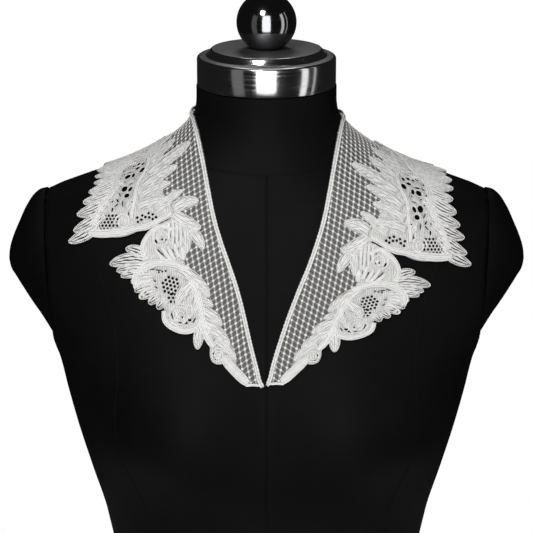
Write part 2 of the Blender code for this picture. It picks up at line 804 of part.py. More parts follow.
class BandShape:
    """A rolled band of clothwork along a curve."""

    def __init__(self, rows):
        line = smooth_line([[p.x, p.y, p.width] for p in rows], BAND_STEP)
        self.line, self.half = line[:, :2], line[:, 2] / 2
        ahead = unit(np.gradient(self.line, axis=0))
        self.left = np.stack([-ahead[:, 1], ahead[:, 0]], -1)

    def outline(self):
        """The band's edge, anticlockwise."""
        right = list(self.line - self.left * self.half[:, None])
        left = list(self.line + self.left * self.half[:, None])
        return right + left[::-1]

    def ridge(self):
        """The band's middle, short of its ends."""
        return list(self.line[1:-1])

    def rise(self, points):
        """How far the band stands up at each place."""
        offset = np.linalg.norm(points[:, None] - self.line[None], axis=2)
        nearest = offset.argmin(1)
        aside = np.abs(((points - self.line[nearest]) * self.left[nearest]).sum(1))
        inside = (offset.min(1) < BAND_STEP) & (nearest > 0) & (nearest < len(self.line) - 1)
        return np.where(inside, np.clip(1 - (aside / self.half[nearest]) ** 2, 0, 1), 0)


class Spray:
    """One piece of lace border: its ground, motifs and holes, and the outline that it is kept inside."""

    def __init__(self, ground, leaves, bands, discs, holes, keep):
        self.ground = [np.array(p, float) for p in ground]
        self.shapes = [BandShape(b) for b in bands]
        self.shapes += [LeafShape(leaf) for leaf in leaves] + [DiscShape(d) for d in discs]
        self.holes = [hole_outline(hole) for hole in holes]
        self.keep = [np.array(p, float) for p in keep]

    def pattern(self):
        """The piece cut out on paper: points and triangles."""
        solids = [self.ground] + [shape.outline() for shape in self.shapes]
        ridges = [shape.ridge() for shape in self.shapes]
        return cut_out(solids, self.holes, ridges, self.keep, LACE_GRID)

    def relief(self, points):
        """How far each place stands above the piece's plain wall."""
        return RELIEF * np.max([shape.rise(points) for shape in self.shapes], axis=0)


def hole_outline(hole):
    """An oval hole, anticlockwise."""
    turn = math.radians(hole.turn)
    out = []
    for k in range(HOLE_POINTS):
        angle = k * 2 * math.pi / HOLE_POINTS
        x, y = hole.width / 2 * math.cos(angle), hole.height / 2 * math.sin(angle)
        out.append(np.array([hole.x + x * math.cos(turn) - y * math.sin(turn),
                             hole.y + x * math.sin(turn) + y * math.cos(turn)]))
    return out


def anticlockwise(outline):
    """The outline in anticlockwise order."""
    x, y = np.array(outline).T
    area = (x * np.roll(y, -1) - np.roll(x, -1) * y).sum()
    return outline if area > 0 else outline[::-1]


def inside_outline(points, outline):
    """Which of the points lie inside the outline."""
    x, y = points.T
    inside = np.zeros(len(points), bool)
    corners = np.array(outline)
    for (x0, y0), (x1, y1) in zip(corners, np.roll(corners, -1, axis=0)):
        if y0 == y1:
            continue
        crosses = (y0 > y) != (y1 > y)
        inside ^= crosses & (x < (x1 - x0) * (y - y0) / (y1 - y0) + x0)
    return inside


def grid_inside(outlines, holes, taken, spacing):
    """Points of an even grid that lie in some outline, clear of the points already taken."""
    corners = np.vstack(outlines)
    low, high = corners.min(0), corners.max(0)
    xs = np.arange(low[0] + spacing / 3, high[0], spacing)
    ys = np.arange(low[1] + spacing / 3, high[1], spacing * math.sqrt(0.75))
    grid = np.array([(x + spacing / 2 * (k % 2), y) for k, y in enumerate(ys) for x in xs])
    inside = np.any([inside_outline(grid, outline) for outline in outlines], axis=0)
    for hole in holes:
        inside &= ~inside_outline(grid, hole)
    apart = np.linalg.norm(grid[:, None] - taken[None], axis=2).min(1) > GRID_CLEAR
    return grid[inside & apart]


def cut_out(solids, holes, ridges, keep, spacing):
    """Triangles that cover the solid outlines, less the holes and what is outside the kept outline."""
    solids = [anticlockwise(list(outline)) for outline in solids]
    holes = [anticlockwise(list(outline)) for outline in holes]
    keep = anticlockwise(list(keep))
    points, edges, faces = [], [], []
    for outline in [subdivided(outline) for outline in solids + holes + [keep]]:
        faces.append(list(range(len(points), len(points) + len(outline))))
        points += outline
    for ridge in ridges:
        edges += [(len(points) + k, len(points) + k + 1) for k in range(len(ridge) - 1)]
        points += list(ridge)
    points += list(grid_inside(solids, holes, np.array(points), spacing))
    first_hole, kept_id = len(solids), len(faces) - 1
    for _ in range(REFINE_ROUNDS):
        result = delaunay_2d_cdt([Vector(p) for p in points], edges, faces, 1, MERGE, True)
        flat = np.array([tuple(p) for p in result[0]])
        chosen = [
            tuple(face)
            for face, over in zip(result[2], result[5])
            if kept_id in over
            and any(k < first_hole for k in over)
            and not any(first_hole <= k < kept_id for k in over)
        ]
        middles = long_edge_middles(flat, chosen)
        if not middles:
            break
        points += middles
    return one_body(flat, chosen)


def subdivided(outline):
    """The outline with points added so that no side of it is too long."""
    out = []
    for a, b in zip(outline, outline[1:] + outline[:1]):
        parts = math.ceil(np.linalg.norm(b - a) / LONGEST_EDGE)
        out += [a + (b - a) * k / parts for k in range(max(parts, 1))]
    return out


def long_edge_middles(points, triangles):
    """The middle of the longest side of each triangle that has a side that is too long."""
    found = {}
    for t in triangles:
        sides = [
            (np.linalg.norm(points[a] - points[b]), min(a, b), max(a, b))
            for a, b in zip(t, t[1:] + t[:1])
        ]
        length, a, b = max(sides)
        if length > LONGEST_EDGE:
            found[(a, b)] = (points[a] + points[b]) / 2
    return list(found.values())


def one_body(points, triangles):
    """The largest set of triangles joined by edges, with no two corners that only touch at a point."""
    while True:
        triangles = largest_joined(triangles)
        loose = pinched(triangles)
        if not loose:
            break
        triangles = [t for t in triangles if t not in loose]
    used = sorted({corner for t in triangles for corner in t})
    renumber = {old: new for new, old in enumerate(used)}
    return points[used], [tuple(renumber[c] for c in t) for t in triangles]


def largest_joined(triangles):
    """The largest set of triangles that are joined edge to edge."""
    by_edge = {}
    for k, t in enumerate(triangles):
        for a, b in zip(t, t[1:] + t[:1]):
            by_edge.setdefault(frozenset((a, b)), []).append(k)
    group, best = {}, []
    for start in range(len(triangles)):
        if start in group:
            continue
        group[start], queue, members = start, [start], []
        while queue:
            k = queue.pop()
            members.append(k)
            t = triangles[k]
            for a, b in zip(t, t[1:] + t[:1]):
                for other in by_edge[frozenset((a, b))]:
                    if other not in group:
                        group[other] = start
                        queue.append(other)
        best = max(best, members, key=len)
    return [triangles[k] for k in sorted(best)]


def shares_edge_at(corner, one, other):
    """True where two triangles share an edge that ends at the corner."""
    shared = set(one) & set(other)
    return corner in shared and len(shared) == 2


def pinched(triangles):
    """Triangles of the smaller fans at corners where two parts touch only at a point."""
    around, loose = {}, set()
    for t in triangles:
        for corner in t:
            around.setdefault(corner, []).append(t)
    for corner, fan in around.items():
        left = list(fan)
        fans = []
        while left:
            part = [left.pop()]
            grown = True
            while grown:
                near = [t for t in left if any(shares_edge_at(corner, t, other) for other in part)]
                grown = bool(near)
                part += near
                left = [t for t in left if t not in near]
            fans.append(part)
        for part in sorted(fans, key=len)[:-1]:
            loose.update(part)
    return loose


def wall_between(lower, upper, triangles, side):
    """A closed wall between two layers of points that share their triangles."""
    count = len(lower)
    once = {}
    for t in triangles:
        for a, b in zip(t, t[1:] + t[:1]):
            once[(a, b)] = True
    faces = [tuple(c + count for c in t) for t in triangles]
    faces += [tuple(reversed(t)) for t in triangles]
    faces += [(a, b, b + count, a + count) for a, b in once if (b, a) not in once]
    if side > 0:
        faces = [tuple(reversed(f)) for f in faces]
    return np.vstack([lower, upper]), faces


def neck_line(drape):
    """The neck edge on the pattern from the centre back to the V."""
    guide = [(p.x, p.y) for p in NECK_EDGE]
    along, aside = drape.measure(np.array(guide[:1], float))
    guide[0] = tuple(drape.on_paper(SEAM_GAP / 2, float(aside[0])))
    return smooth_line(guide, TAPE_STEP)


def net_outline(drape):
    """The net ground on the pattern, anticlockwise or not."""
    back = [
        drape.on_paper(along, NET_BACK_WIDTH)
        for along in np.linspace(BACK_LOBE_LAST, SEAM_GAP / 2, NET_BACK_STEPS)
    ]
    return list(neck_line(drape)) + list(smooth_line(NET_OUTER_EDGE, NET_EDGE_STEP)) + back


def back_spray(drape):
    """The back part of the border, set out by rule from the centre back to the shoulder."""
    places = np.linspace(0, BACK_LOBE_LAST, BACK_LOBES)
    leaves = []
    for k, along in enumerate(places):
        lean = 0 if k == 0 else BACK_LOBE_LEAN
        root = drape.on_paper(along, BACK_LOBE_ROOT)
        tip = drape.on_paper(max(along - lean, 0), BACK_LOBE_TIP)
        leaves.append(Leaf(*root, *tip, BACK_LOBE_WIDTH, 0 if k == 0 else -2))
        root = drape.on_paper(along, BACK_LEAF_ROOT)
        tip = drape.on_paper(along + lean, BACK_LEAF_TIP)
        leaves.append(Leaf(*root, *tip, BACK_LEAF_WIDTH, 0 if k == 0 else 1.5))
    reach = np.linspace(0, BACK_GROUND_LAST, BACK_LOBES + 2)
    ground = [drape.on_paper(a, BACK_GROUND_OUT) for a in reach]
    ground += [drape.on_paper(a, BACK_GROUND_IN) for a in reach[::-1]]
    band = [BandPoint(*drape.on_paper(a, BACK_BAND_ASIDE), BACK_BAND_WIDTH) for a in reach]
    keep = [drape.on_paper(SEAM_GAP / 2, -ASIDE_IN), drape.on_paper(SEAM_GAP / 2, ASIDE_OUT / 2)]
    keep += [PatternPoint(-190, 330)] + join_line(SHOULDER_SEAM, LACE_JOIN)[::-1]
    return Spray(ground, leaves, (band,), (), (), keep)


def join_line(seam, rise):
    """The line where two sprays meet, in short steps, moved up the pattern."""
    return list(evenly_spaced(np.array(seam, float), JOIN_STEP) + [0, rise])


def shoulder_spray():
    """The part of the border that lies over the shoulder."""
    keep = join_line(FRONT_SEAM, LACE_JOIN) + [PatternPoint(10, 116)]
    keep += join_line(SHOULDER_SEAM, 0) + [PatternPoint(-170, 100), PatternPoint(-120, 100)]
    return Spray(SHOULDER_GROUND, SHOULDER_LEAVES, SHOULDER_BANDS, SHOULDER_DISCS, SHOULDER_HOLES, keep)


def front_spray():
    """The part of the border that runs down the front to the V."""
    keep = join_line(FRONT_SEAM, 0) + [PatternPoint(20, 116), PatternPoint(20, 0), PatternPoint(-120, 0)]
    return Spray(FRONT_GROUND, FRONT_LEAVES, FRONT_BANDS, FRONT_DISCS, FRONT_HOLES, keep)


SIDES = {"left": -1, "right": 1}


def build_net(drape, material):
    """The two halves of the net ground."""
    outline = net_outline(drape)
    points, triangles = cut_out([outline], [], [], outline, NET_GRID)
    for name, side in SIDES.items():
        lower = drape.lay(points, np.full(len(points), NET_CLEARANCE), side, False)
        upper = drape.lay(points, np.full(len(points), NET_TOP), side, False)
        make_object(f"net_{name}", *wall_between(lower, upper, triangles, side), material)


def build_tape(drape, material):
    """The tape that finishes the neck edge, on top of the net."""
    edge = neck_line(drape)
    ahead = unit(np.gradient(edge, axis=0))
    outward = np.stack([ahead[:, 1], -ahead[:, 0]], -1)
    points = np.vstack([edge, edge + outward * TAPE_WIDTH])
    count = len(edge)
    triangles = []
    for i in range(count - 1):
        triangles += [(i, i + 1 + count, i + 1), (i, i + count, i + 1 + count)]
    corner = points[list(triangles[0])]
    run = corner[1:] - corner[0]
    if run[0, 0] * run[1, 1] - run[0, 1] * run[1, 0] < 0:
        triangles = [t[::-1] for t in triangles]
    for name, side in SIDES.items():
        low = np.full(len(points), LACE_UNDERSIDE)
        lower = drape.lay(points, low, side, False)
        upper = drape.lay(points, low + TAPE_THICKNESS, side, False)
        make_object(f"neck_tape_{name}", *wall_between(lower, upper, triangles, side), material)


def build_sprays(drape, material):
    """The lace border of both halves, one object for each part of it."""
    sprays = {"shoulder": shoulder_spray(), "front": front_spray(), "back": back_spray(drape)}
    for part, spray in sprays.items():
        points, triangles = spray.pattern()
        low = np.full(len(points), LACE_UNDERSIDE)
        high = low + LACE_THICKNESS + spray.relief(points)
        for name, side in SIDES.items():
            lower = drape.lay(points, low, side, True)
            upper = drape.lay(points, high, side, True)
            make_object(f"{part}_spray_{name}", *wall_between(lower, upper, triangles, side), material)


def build_form(material):
    """The torso of the dress form, from its flat underside to the top of its neck."""
    heights = sorted([row.height for row in FORM_SECTIONS if row.height < FORM_TOP] + list(WAIST_RINGS))
    rings = [form_ring(0, FORM_SEGMENTS, BASE_INSET)]
    rings += [form_ring(height, FORM_SEGMENTS) for height in heights + [FORM_TOP] if height > 0]
    low = form_ring(0, FORM_SEGMENTS)
    low[:, 2] = BASE_ROUND
    rings.insert(1, low)
    make_object("form_body", *loft(rings), material)


def arm_cap_ring(out, side):
    """One section of a padded arm cap, parallel to the armhole face."""
    low, high = (float(v) for v in ARM_CAP.read(np.array(out, float)))
    share = (high - low) / (ARM_CAP_SECTIONS[0].high - ARM_CAP_SECTIONS[0].low)
    angles = np.arange(ARM_CAP_SEGMENTS) * 2 * math.pi / ARM_CAP_SEGMENTS
    y = ARM_CAP_CENTRE_Y + ARM_CAP_HALF_DEPTH * share * np.cos(angles)
    z = (low + high) / 2 + (high - low) / 2 * np.sin(angles)
    points = np.stack([arm_plane(z) + out, y, z], -1)
    return points * [side, 1, 1]


def build_arm_caps(material):
    """The padded caps over the armholes."""
    for name, side in SIDES.items():
        rings = [arm_cap_ring(row.out, side) for row in ARM_CAP_SECTIONS]
        points, faces = loft(rings)
        far_out = arm_plane(ARM_CAP_APEX.low) + ARM_CAP_APEX.out
        apex = np.array([[side * far_out, ARM_CAP_CENTRE_Y, ARM_CAP_APEX.low]])
        last, top = (len(rings) - 1) * ARM_CAP_SEGMENTS, len(points)
        faces = faces[:-1]
        faces += [(last + i, last + (i + 1) % ARM_CAP_SEGMENTS, top) for i in range(ARM_CAP_SEGMENTS)]
        if side < 0:
            faces = [tuple(reversed(f)) for f in faces]
        make_object(f"arm_cap_{name}", np.vstack([points, apex]), faces, material)


def build_neck_cap(material):
    """The polished cap on the neck and the ball on top of it."""
    rings = [turned_ring(row.radius, row.height) for row in NECK_CAP_PROFILE]
    make_object("neck_cap", *loft(rings), material)
    centre = BALL_SEAT + BALL_FOOT_HEIGHT + math.sqrt(BALL_RADIUS**2 - BALL_WAIST_RADIUS**2)
    rings = [
        turned_ring(BALL_FOOT_RADIUS, BALL_SEAT),
        turned_ring(BALL_FOOT_RADIUS, BALL_SEAT + BALL_FOOT_HEIGHT * 0.6),
    ]
    start = -math.acos(BALL_WAIST_RADIUS / BALL_RADIUS)
    for k in range(BALL_RINGS):
        angle = start + (math.pi / 2 - start) * k / BALL_RINGS
        rings.append(turned_ring(BALL_RADIUS * math.cos(angle), centre + BALL_RADIUS * math.sin(angle)))
    points, faces = loft(rings)
    last = (len(rings) - 1) * TURNED_SEGMENTS
    faces = faces[:-1]
    faces += [(last + i, last + (i + 1) % TURNED_SEGMENTS, len(points)) for i in range(TURNED_SEGMENTS)]
    points = np.vstack([points, [[0, 0, centre + BALL_RADIUS]]])
    make_object("finial_ball", points, faces, material)


def main():
    """Removes what is in the scene and builds every piece."""
    for obj in list(bpy.data.objects):
        bpy.data.objects.remove(obj, do_unlink=True)
    jersey = make_material("black_jersey", (0.012, 0.012, 0.013), 0.75)
    chrome = make_material("polished_metal", (0.62, 0.62, 0.62), 0.14, 1.0)
    lace = make_material("ivory_lace", (0.84, 0.83, 0.81), 0.8)
    net = make_material("fine_net", (0.72, 0.71, 0.69), 0.85)
    tape = make_material("neck_tape", (0.86, 0.85, 0.83), 0.75)
    build_form(jersey)
    build_arm_caps(jersey)
    build_neck_cap(chrome)
    drape = Drape()
    build_net(drape, net)
    build_tape(drape, tape)
    build_sprays(drape, lace)


if __name__ == "__main__":
    main()
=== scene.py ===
"""Dresses a lace collar with a V front, laid on a limbless dress form. Runs in Blender 4.5.

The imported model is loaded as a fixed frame, and every piece is made around it, in metres. The collar is
made as it is cut: each piece is drawn flat on a paper pattern, in millimetres, and is laid on the form
along the collar's middle line, which runs from the centre back over the shoulder to the front.
"""

from __future__ import annotations

import logging
import math
from contextlib import contextmanager
from dataclasses import dataclass, field
from enum import Enum
from functools import lru_cache
from typing import Callable, Iterable, Iterator, NamedTuple, Sequence, TypeVar

import bpy
import numpy as np
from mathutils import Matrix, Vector
from mathutils.geometry import delaunay_2d_cdt


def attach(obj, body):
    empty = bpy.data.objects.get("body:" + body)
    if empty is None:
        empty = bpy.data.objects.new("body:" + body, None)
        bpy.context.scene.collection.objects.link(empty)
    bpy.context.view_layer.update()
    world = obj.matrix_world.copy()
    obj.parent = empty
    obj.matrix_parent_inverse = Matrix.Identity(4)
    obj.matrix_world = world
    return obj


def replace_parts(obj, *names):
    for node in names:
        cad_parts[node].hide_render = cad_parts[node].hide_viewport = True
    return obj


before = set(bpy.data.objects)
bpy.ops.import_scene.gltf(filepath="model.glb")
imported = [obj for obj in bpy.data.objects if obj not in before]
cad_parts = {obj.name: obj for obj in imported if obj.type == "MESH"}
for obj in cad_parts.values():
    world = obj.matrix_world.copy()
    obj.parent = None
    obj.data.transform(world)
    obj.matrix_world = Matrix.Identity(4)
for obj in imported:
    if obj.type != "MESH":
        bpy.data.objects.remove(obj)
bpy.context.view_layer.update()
bpy.ops.object.select_all(action="DESELECT")

LOG = logging.getLogger("collar")
MM = 0.001
BODY = "root"


class Side(Enum):
    """The two halves of the collar, as seen from the front."""

    LEFT = -1
    RIGHT = 1

    @property
    def word(self) -> str:
        """The half's name in a piece's name."""
        return self.name.lower()


class Layer(Enum):
    """Heights above the form, in millimetres, of the faces that the collar's pieces lie on."""

    TULLE = 1.2
    NET = 1.1
    TAPE = 1.9
    LACE = 1.75
    RAISED = 2.05


Row = TypeVar("Row")


def rows_of(kind: Callable[..., Row], *rows: Sequence[object]) -> tuple[Row, ...]:
    """Makes a table."""
    return tuple(kind(*row) for row in rows)


# Shape of the dress form


class FormSection(NamedTuple):
    """One level section of the torso, in millimetres."""

    height: float
    half_width: float
    front: float
    back: float
    squareness: float


class ArmCapSection(NamedTuple):
    """One section of an arm cap: how far out it is, and its lowest and highest level."""

    out: float
    low: float
    high: float


class Turned(NamedTuple):
    """One corner of a turned profile."""

    radius: float
    height: float


FORM_SECTIONS = rows_of(
    FormSection,
    (0, 154, 104, 108, 2.2), (60, 140, 98, 102, 2.2), (130, 119, 90, 88, 2.2),
    (186, 127.5, 95, 88, 2.2), (228, 139.5, 101, 92, 2.25), (266, 150, 107, 97, 2.3),
    (290, 156, 108, 100, 2.3), (320, 163, 106, 103, 2.3), (350, 177, 102, 104, 2.3),
    (385, 187, 96, 103, 2.2), (411, 188, 89, 99, 2.1), (431, 184, 82, 93, 2.05),
    (441, 177, 77.5, 87, 2.0), (446, 169, 75, 84, 2.0), (451, 156, 73, 81, 2.0),
    (456, 142, 70.5, 78, 2.0), (461, 126, 68, 74, 2.0), (467, 110, 65.5, 70, 2.0),
    (473, 97, 63, 66.5, 2.0), (479, 86, 61, 63, 2.0), (486, 75.5, 59, 60, 2.0),
    (494, 65.5, 57, 57.5, 2.0), (502, 58.5, 55.3, 55.5, 2.0), (511, 54.5, 54, 54, 2.0),
    (520, 53.5, 53.5, 53.5, 2.0), (540, 53.5, 53.5, 53.5, 2.0),
)


def monotone_slopes(at: np.ndarray, values: np.ndarray) -> np.ndarray:
    """Slopes of a smooth curve through the values that never swings past them.

    Args:
        at: Where the values stand.
        values: The values.

    Returns:
        The slope at each value.
    """
    step = np.diff(at)
    rise = np.diff(values) / step
    slopes = np.zeros_like(values)
    slopes[0], slopes[-1] = rise[0], rise[-1]
    for i in range(1, len(values) - 1):
        if rise[i - 1] * rise[i] > 0:
            before, after = 2 * step[i] + step[i - 1], step[i] + 2 * step[i - 1]
            slopes[i] = (before + after) / (before / rise[i - 1] + after / rise[i])
    return slopes


class SmoothTable:
    """Rows of a table, read at any value of their first column."""

    def __init__(self, rows: Sequence[Sequence[float]]) -> None:
        """Fits the curve of every column.

        Args:
            rows: The table, its first column rising.
        """
        table = np.array(rows, float)
        self.at = table[:, 0]
        self.columns = table[:, 1:].T
        self.slopes = [monotone_slopes(self.at, column) for column in self.columns]

    def read(self, where: np.ndarray) -> list[np.ndarray]:
        """Reads every other column.

        Args:
            where: Values of the first column.

        Returns:
            One array for each other column.
        """
        where = np.clip(where, self.at[0], self.at[-1])
        i = np.clip(np.searchsorted(self.at, where, side="right") - 1, 0, len(self.at) - 2)
        step = self.at[i + 1] - self.at[i]
        t = (where - self.at[i]) / step
        start, lead_out = (1 + 2 * t) * (1 - t) ** 2, t * (1 - t) ** 2 * step
        end, lead_in = t * t * (3 - 2 * t), t * t * (t - 1) * step
        return [
            start * values[i] + lead_out * slopes[i] + end * values[i + 1] + lead_in * slopes[i + 1]
            for values, slopes in zip(self.columns, self.slopes)
        ]


def smooth_step(t: np.ndarray) -> np.ndarray:
    """0 below 0, 1 above 1, and an even rise between them."""
    t = np.clip(t, 0.0, 1.0)
    return t * t * (3 - 2 * t)


def unit(vectors: np.ndarray) -> np.ndarray:
    """The vectors at length 1."""
    return vectors / np.maximum(np.linalg.norm(vectors, axis=-1, keepdims=True), 1e-9)


@dataclass
class FormSurface:
    """The torso's surface as a rule, in millimetres, for all that lies on it."""

    bust_x: float = 72.0
    bust_height: float = 278.0
    bust_rise: float = 20.0
    bust_spread: float = 52.0
    bust_above: float = 0.6
    bust_below: float = 1.3
    front_blend: float = 60.0
    armhole_half_width: float = 163.5
    armhole_low: float = 328.0
    armhole_lean: float = 6.5 / 117.0
    table: SmoothTable = field(default_factory=lambda: SmoothTable(FORM_SECTIONS))

    def bust(self, x: np.ndarray, z: np.ndarray) -> np.ndarray:
        """How far the front stands forward of its plain section.

        Args:
            x: Places across the form.
            z: Their heights.

        Returns:
            The forward stand of each place.
        """
        tall = np.where(z > self.bust_height, self.bust_above, self.bust_below)
        reach = ((np.abs(x) - self.bust_x) ** 2 + tall * (z - self.bust_height) ** 2) / self.bust_spread**2
        return self.bust_rise * np.exp(-reach)

    def gap(self, points: np.ndarray) -> np.ndarray:
        """Below zero inside the form, zero on its surface, above zero outside.

        Args:
            points: Places in space.

        Returns:
            The gap of each place, as a share of the section's size.
        """
        x, y, z = points[..., 0], points[..., 1], points[..., 2]
        half_width, front, back, power = self.table.read(z)
        y = y + self.bust(x, z) * smooth_step(-y / self.front_blend)
        depth = np.where(y < 0, front, back)
        return (np.abs(x / half_width) ** power + np.abs(y / depth) ** power) ** (1 / power) - 1

    def gradient(self, points: np.ndarray) -> np.ndarray:
        """How the gap grows along each axis.

        Args:
            points: Places in space.

        Returns:
            The gradient at each place.
        """
        nudge = 0.05
        sides = [self.gap(points + d) - self.gap(points - d) for d in np.eye(3) * nudge]
        return np.stack(sides, -1) / (2 * nudge)

    def onto(self, points: np.ndarray, rounds: int = 4) -> np.ndarray:
        """The points, moved along the surface's normal onto the form.

        Args:
            points: Places near the form.
            rounds: How many times they are moved closer.

        Returns:
            Places on the form.
        """
        points = np.array(points, float)
        for _ in range(rounds):
            gradient = self.gradient(points)
            points -= self.gap(points)[..., None] * gradient / (gradient**2).sum(-1, keepdims=True)
        return points

    def normals(self, points: np.ndarray) -> np.ndarray:
        """Directions straight out of the surface."""
        return unit(self.gradient(points))

    def arm_plane(self, height: np.ndarray | float) -> np.ndarray:
        """Half the body's width at the flat armhole face."""
        return self.armhole_half_width + self.armhole_lean * np.maximum(
            np.asarray(height, float) - self.armhole_low, 0
        )

    def ring(self, heights: np.ndarray, turns: np.ndarray) -> np.ndarray:
        """Places on the body by height and turn, cut off flat at the armholes.

        Args:
            heights: The height of each place.
            turns: Its angle round the body, in radians.

        Returns:
            The places.
        """
        half_width, front, back, power = self.table.read(heights)
        across, deep = np.cos(turns), np.sin(turns)
        x = half_width * np.sign(across) * np.abs(across) ** (2 / power)
        y = np.where(deep < 0, front, back) * np.sign(deep) * np.abs(deep) ** (2 / power)
        y = y - self.bust(x, heights) * smooth_step(-y / self.front_blend)
        plane = self.arm_plane(heights)
        return np.stack([np.clip(x, -plane, plane), y, heights], -1)


FORM = FormSurface()


def smooth_line(points: Sequence[Sequence[float]], step: float) -> np.ndarray:
    """A curve through the points, with a new point at every step along it.

    Args:
        points: The places that it goes through.
        step: The way between its own points.

    Returns:
        The curve's points.
    """
    points = np.array(points, float)
    padded = np.vstack([2 * points[0] - points[1], points, 2 * points[-1] - points[-2]])
    pieces = []
    for a, b, c, d in zip(padded, padded[1:], padded[2:], padded[3:]):
        t = np.linspace(0, 1, 20, endpoint=False)[:, None]
        bend = (2 * a - 5 * b + 4 * c - d) * t**2 + (3 * b - a - 3 * c + d) * t**3
        pieces.append(0.5 * (2 * b + (c - a) * t + bend))
    return evenly_spaced(np.vstack(pieces + [points[-1:]]), step)


def evenly_spaced(curve: np.ndarray, step: float) -> np.ndarray:
    """The same curve with even steps between its points.

    Args:
        curve: The curve's points.
        step: The way between the new ones.

    Returns:
        The new points.
    """
    length = np.concatenate([[0], np.cumsum(np.linalg.norm(np.diff(curve, axis=0), axis=1))])
    wanted = np.linspace(0, length[-1], max(1, round(length[-1] / step)) + 1)
    return np.stack([np.interp(wanted, length, axis) for axis in curve.T], -1)


def averaged(values: np.ndarray, rounds: int) -> np.ndarray:
    """The values, each evened out with its neighbours so many times.

    Args:
        values: The values, in order.
        rounds: How many times.

    Returns:
        The evened values.
    """
    values = values.copy()
    for _ in range(rounds):
        values[1:-1] = 0.25 * values[:-2] + 0.5 * values[1:-1] + 0.25 * values[2:]
    return values


class PatternPoint(NamedTuple):
    """A place on the paper pattern: x to the right and y up, for the half on the left of the front view."""

    x: float
    y: float


MIDDLE_LINE = (
    (0, 72, 482), (34, 66, 482), (62, 44, 482), (77, 10, 483), (77, -26, 477), (72, -54, 462),
    (63, -76, 438), (51, -91, 408), (38, -100, 376), (25, -106, 344), (12, -110, 312), (0, -112, 282),
)


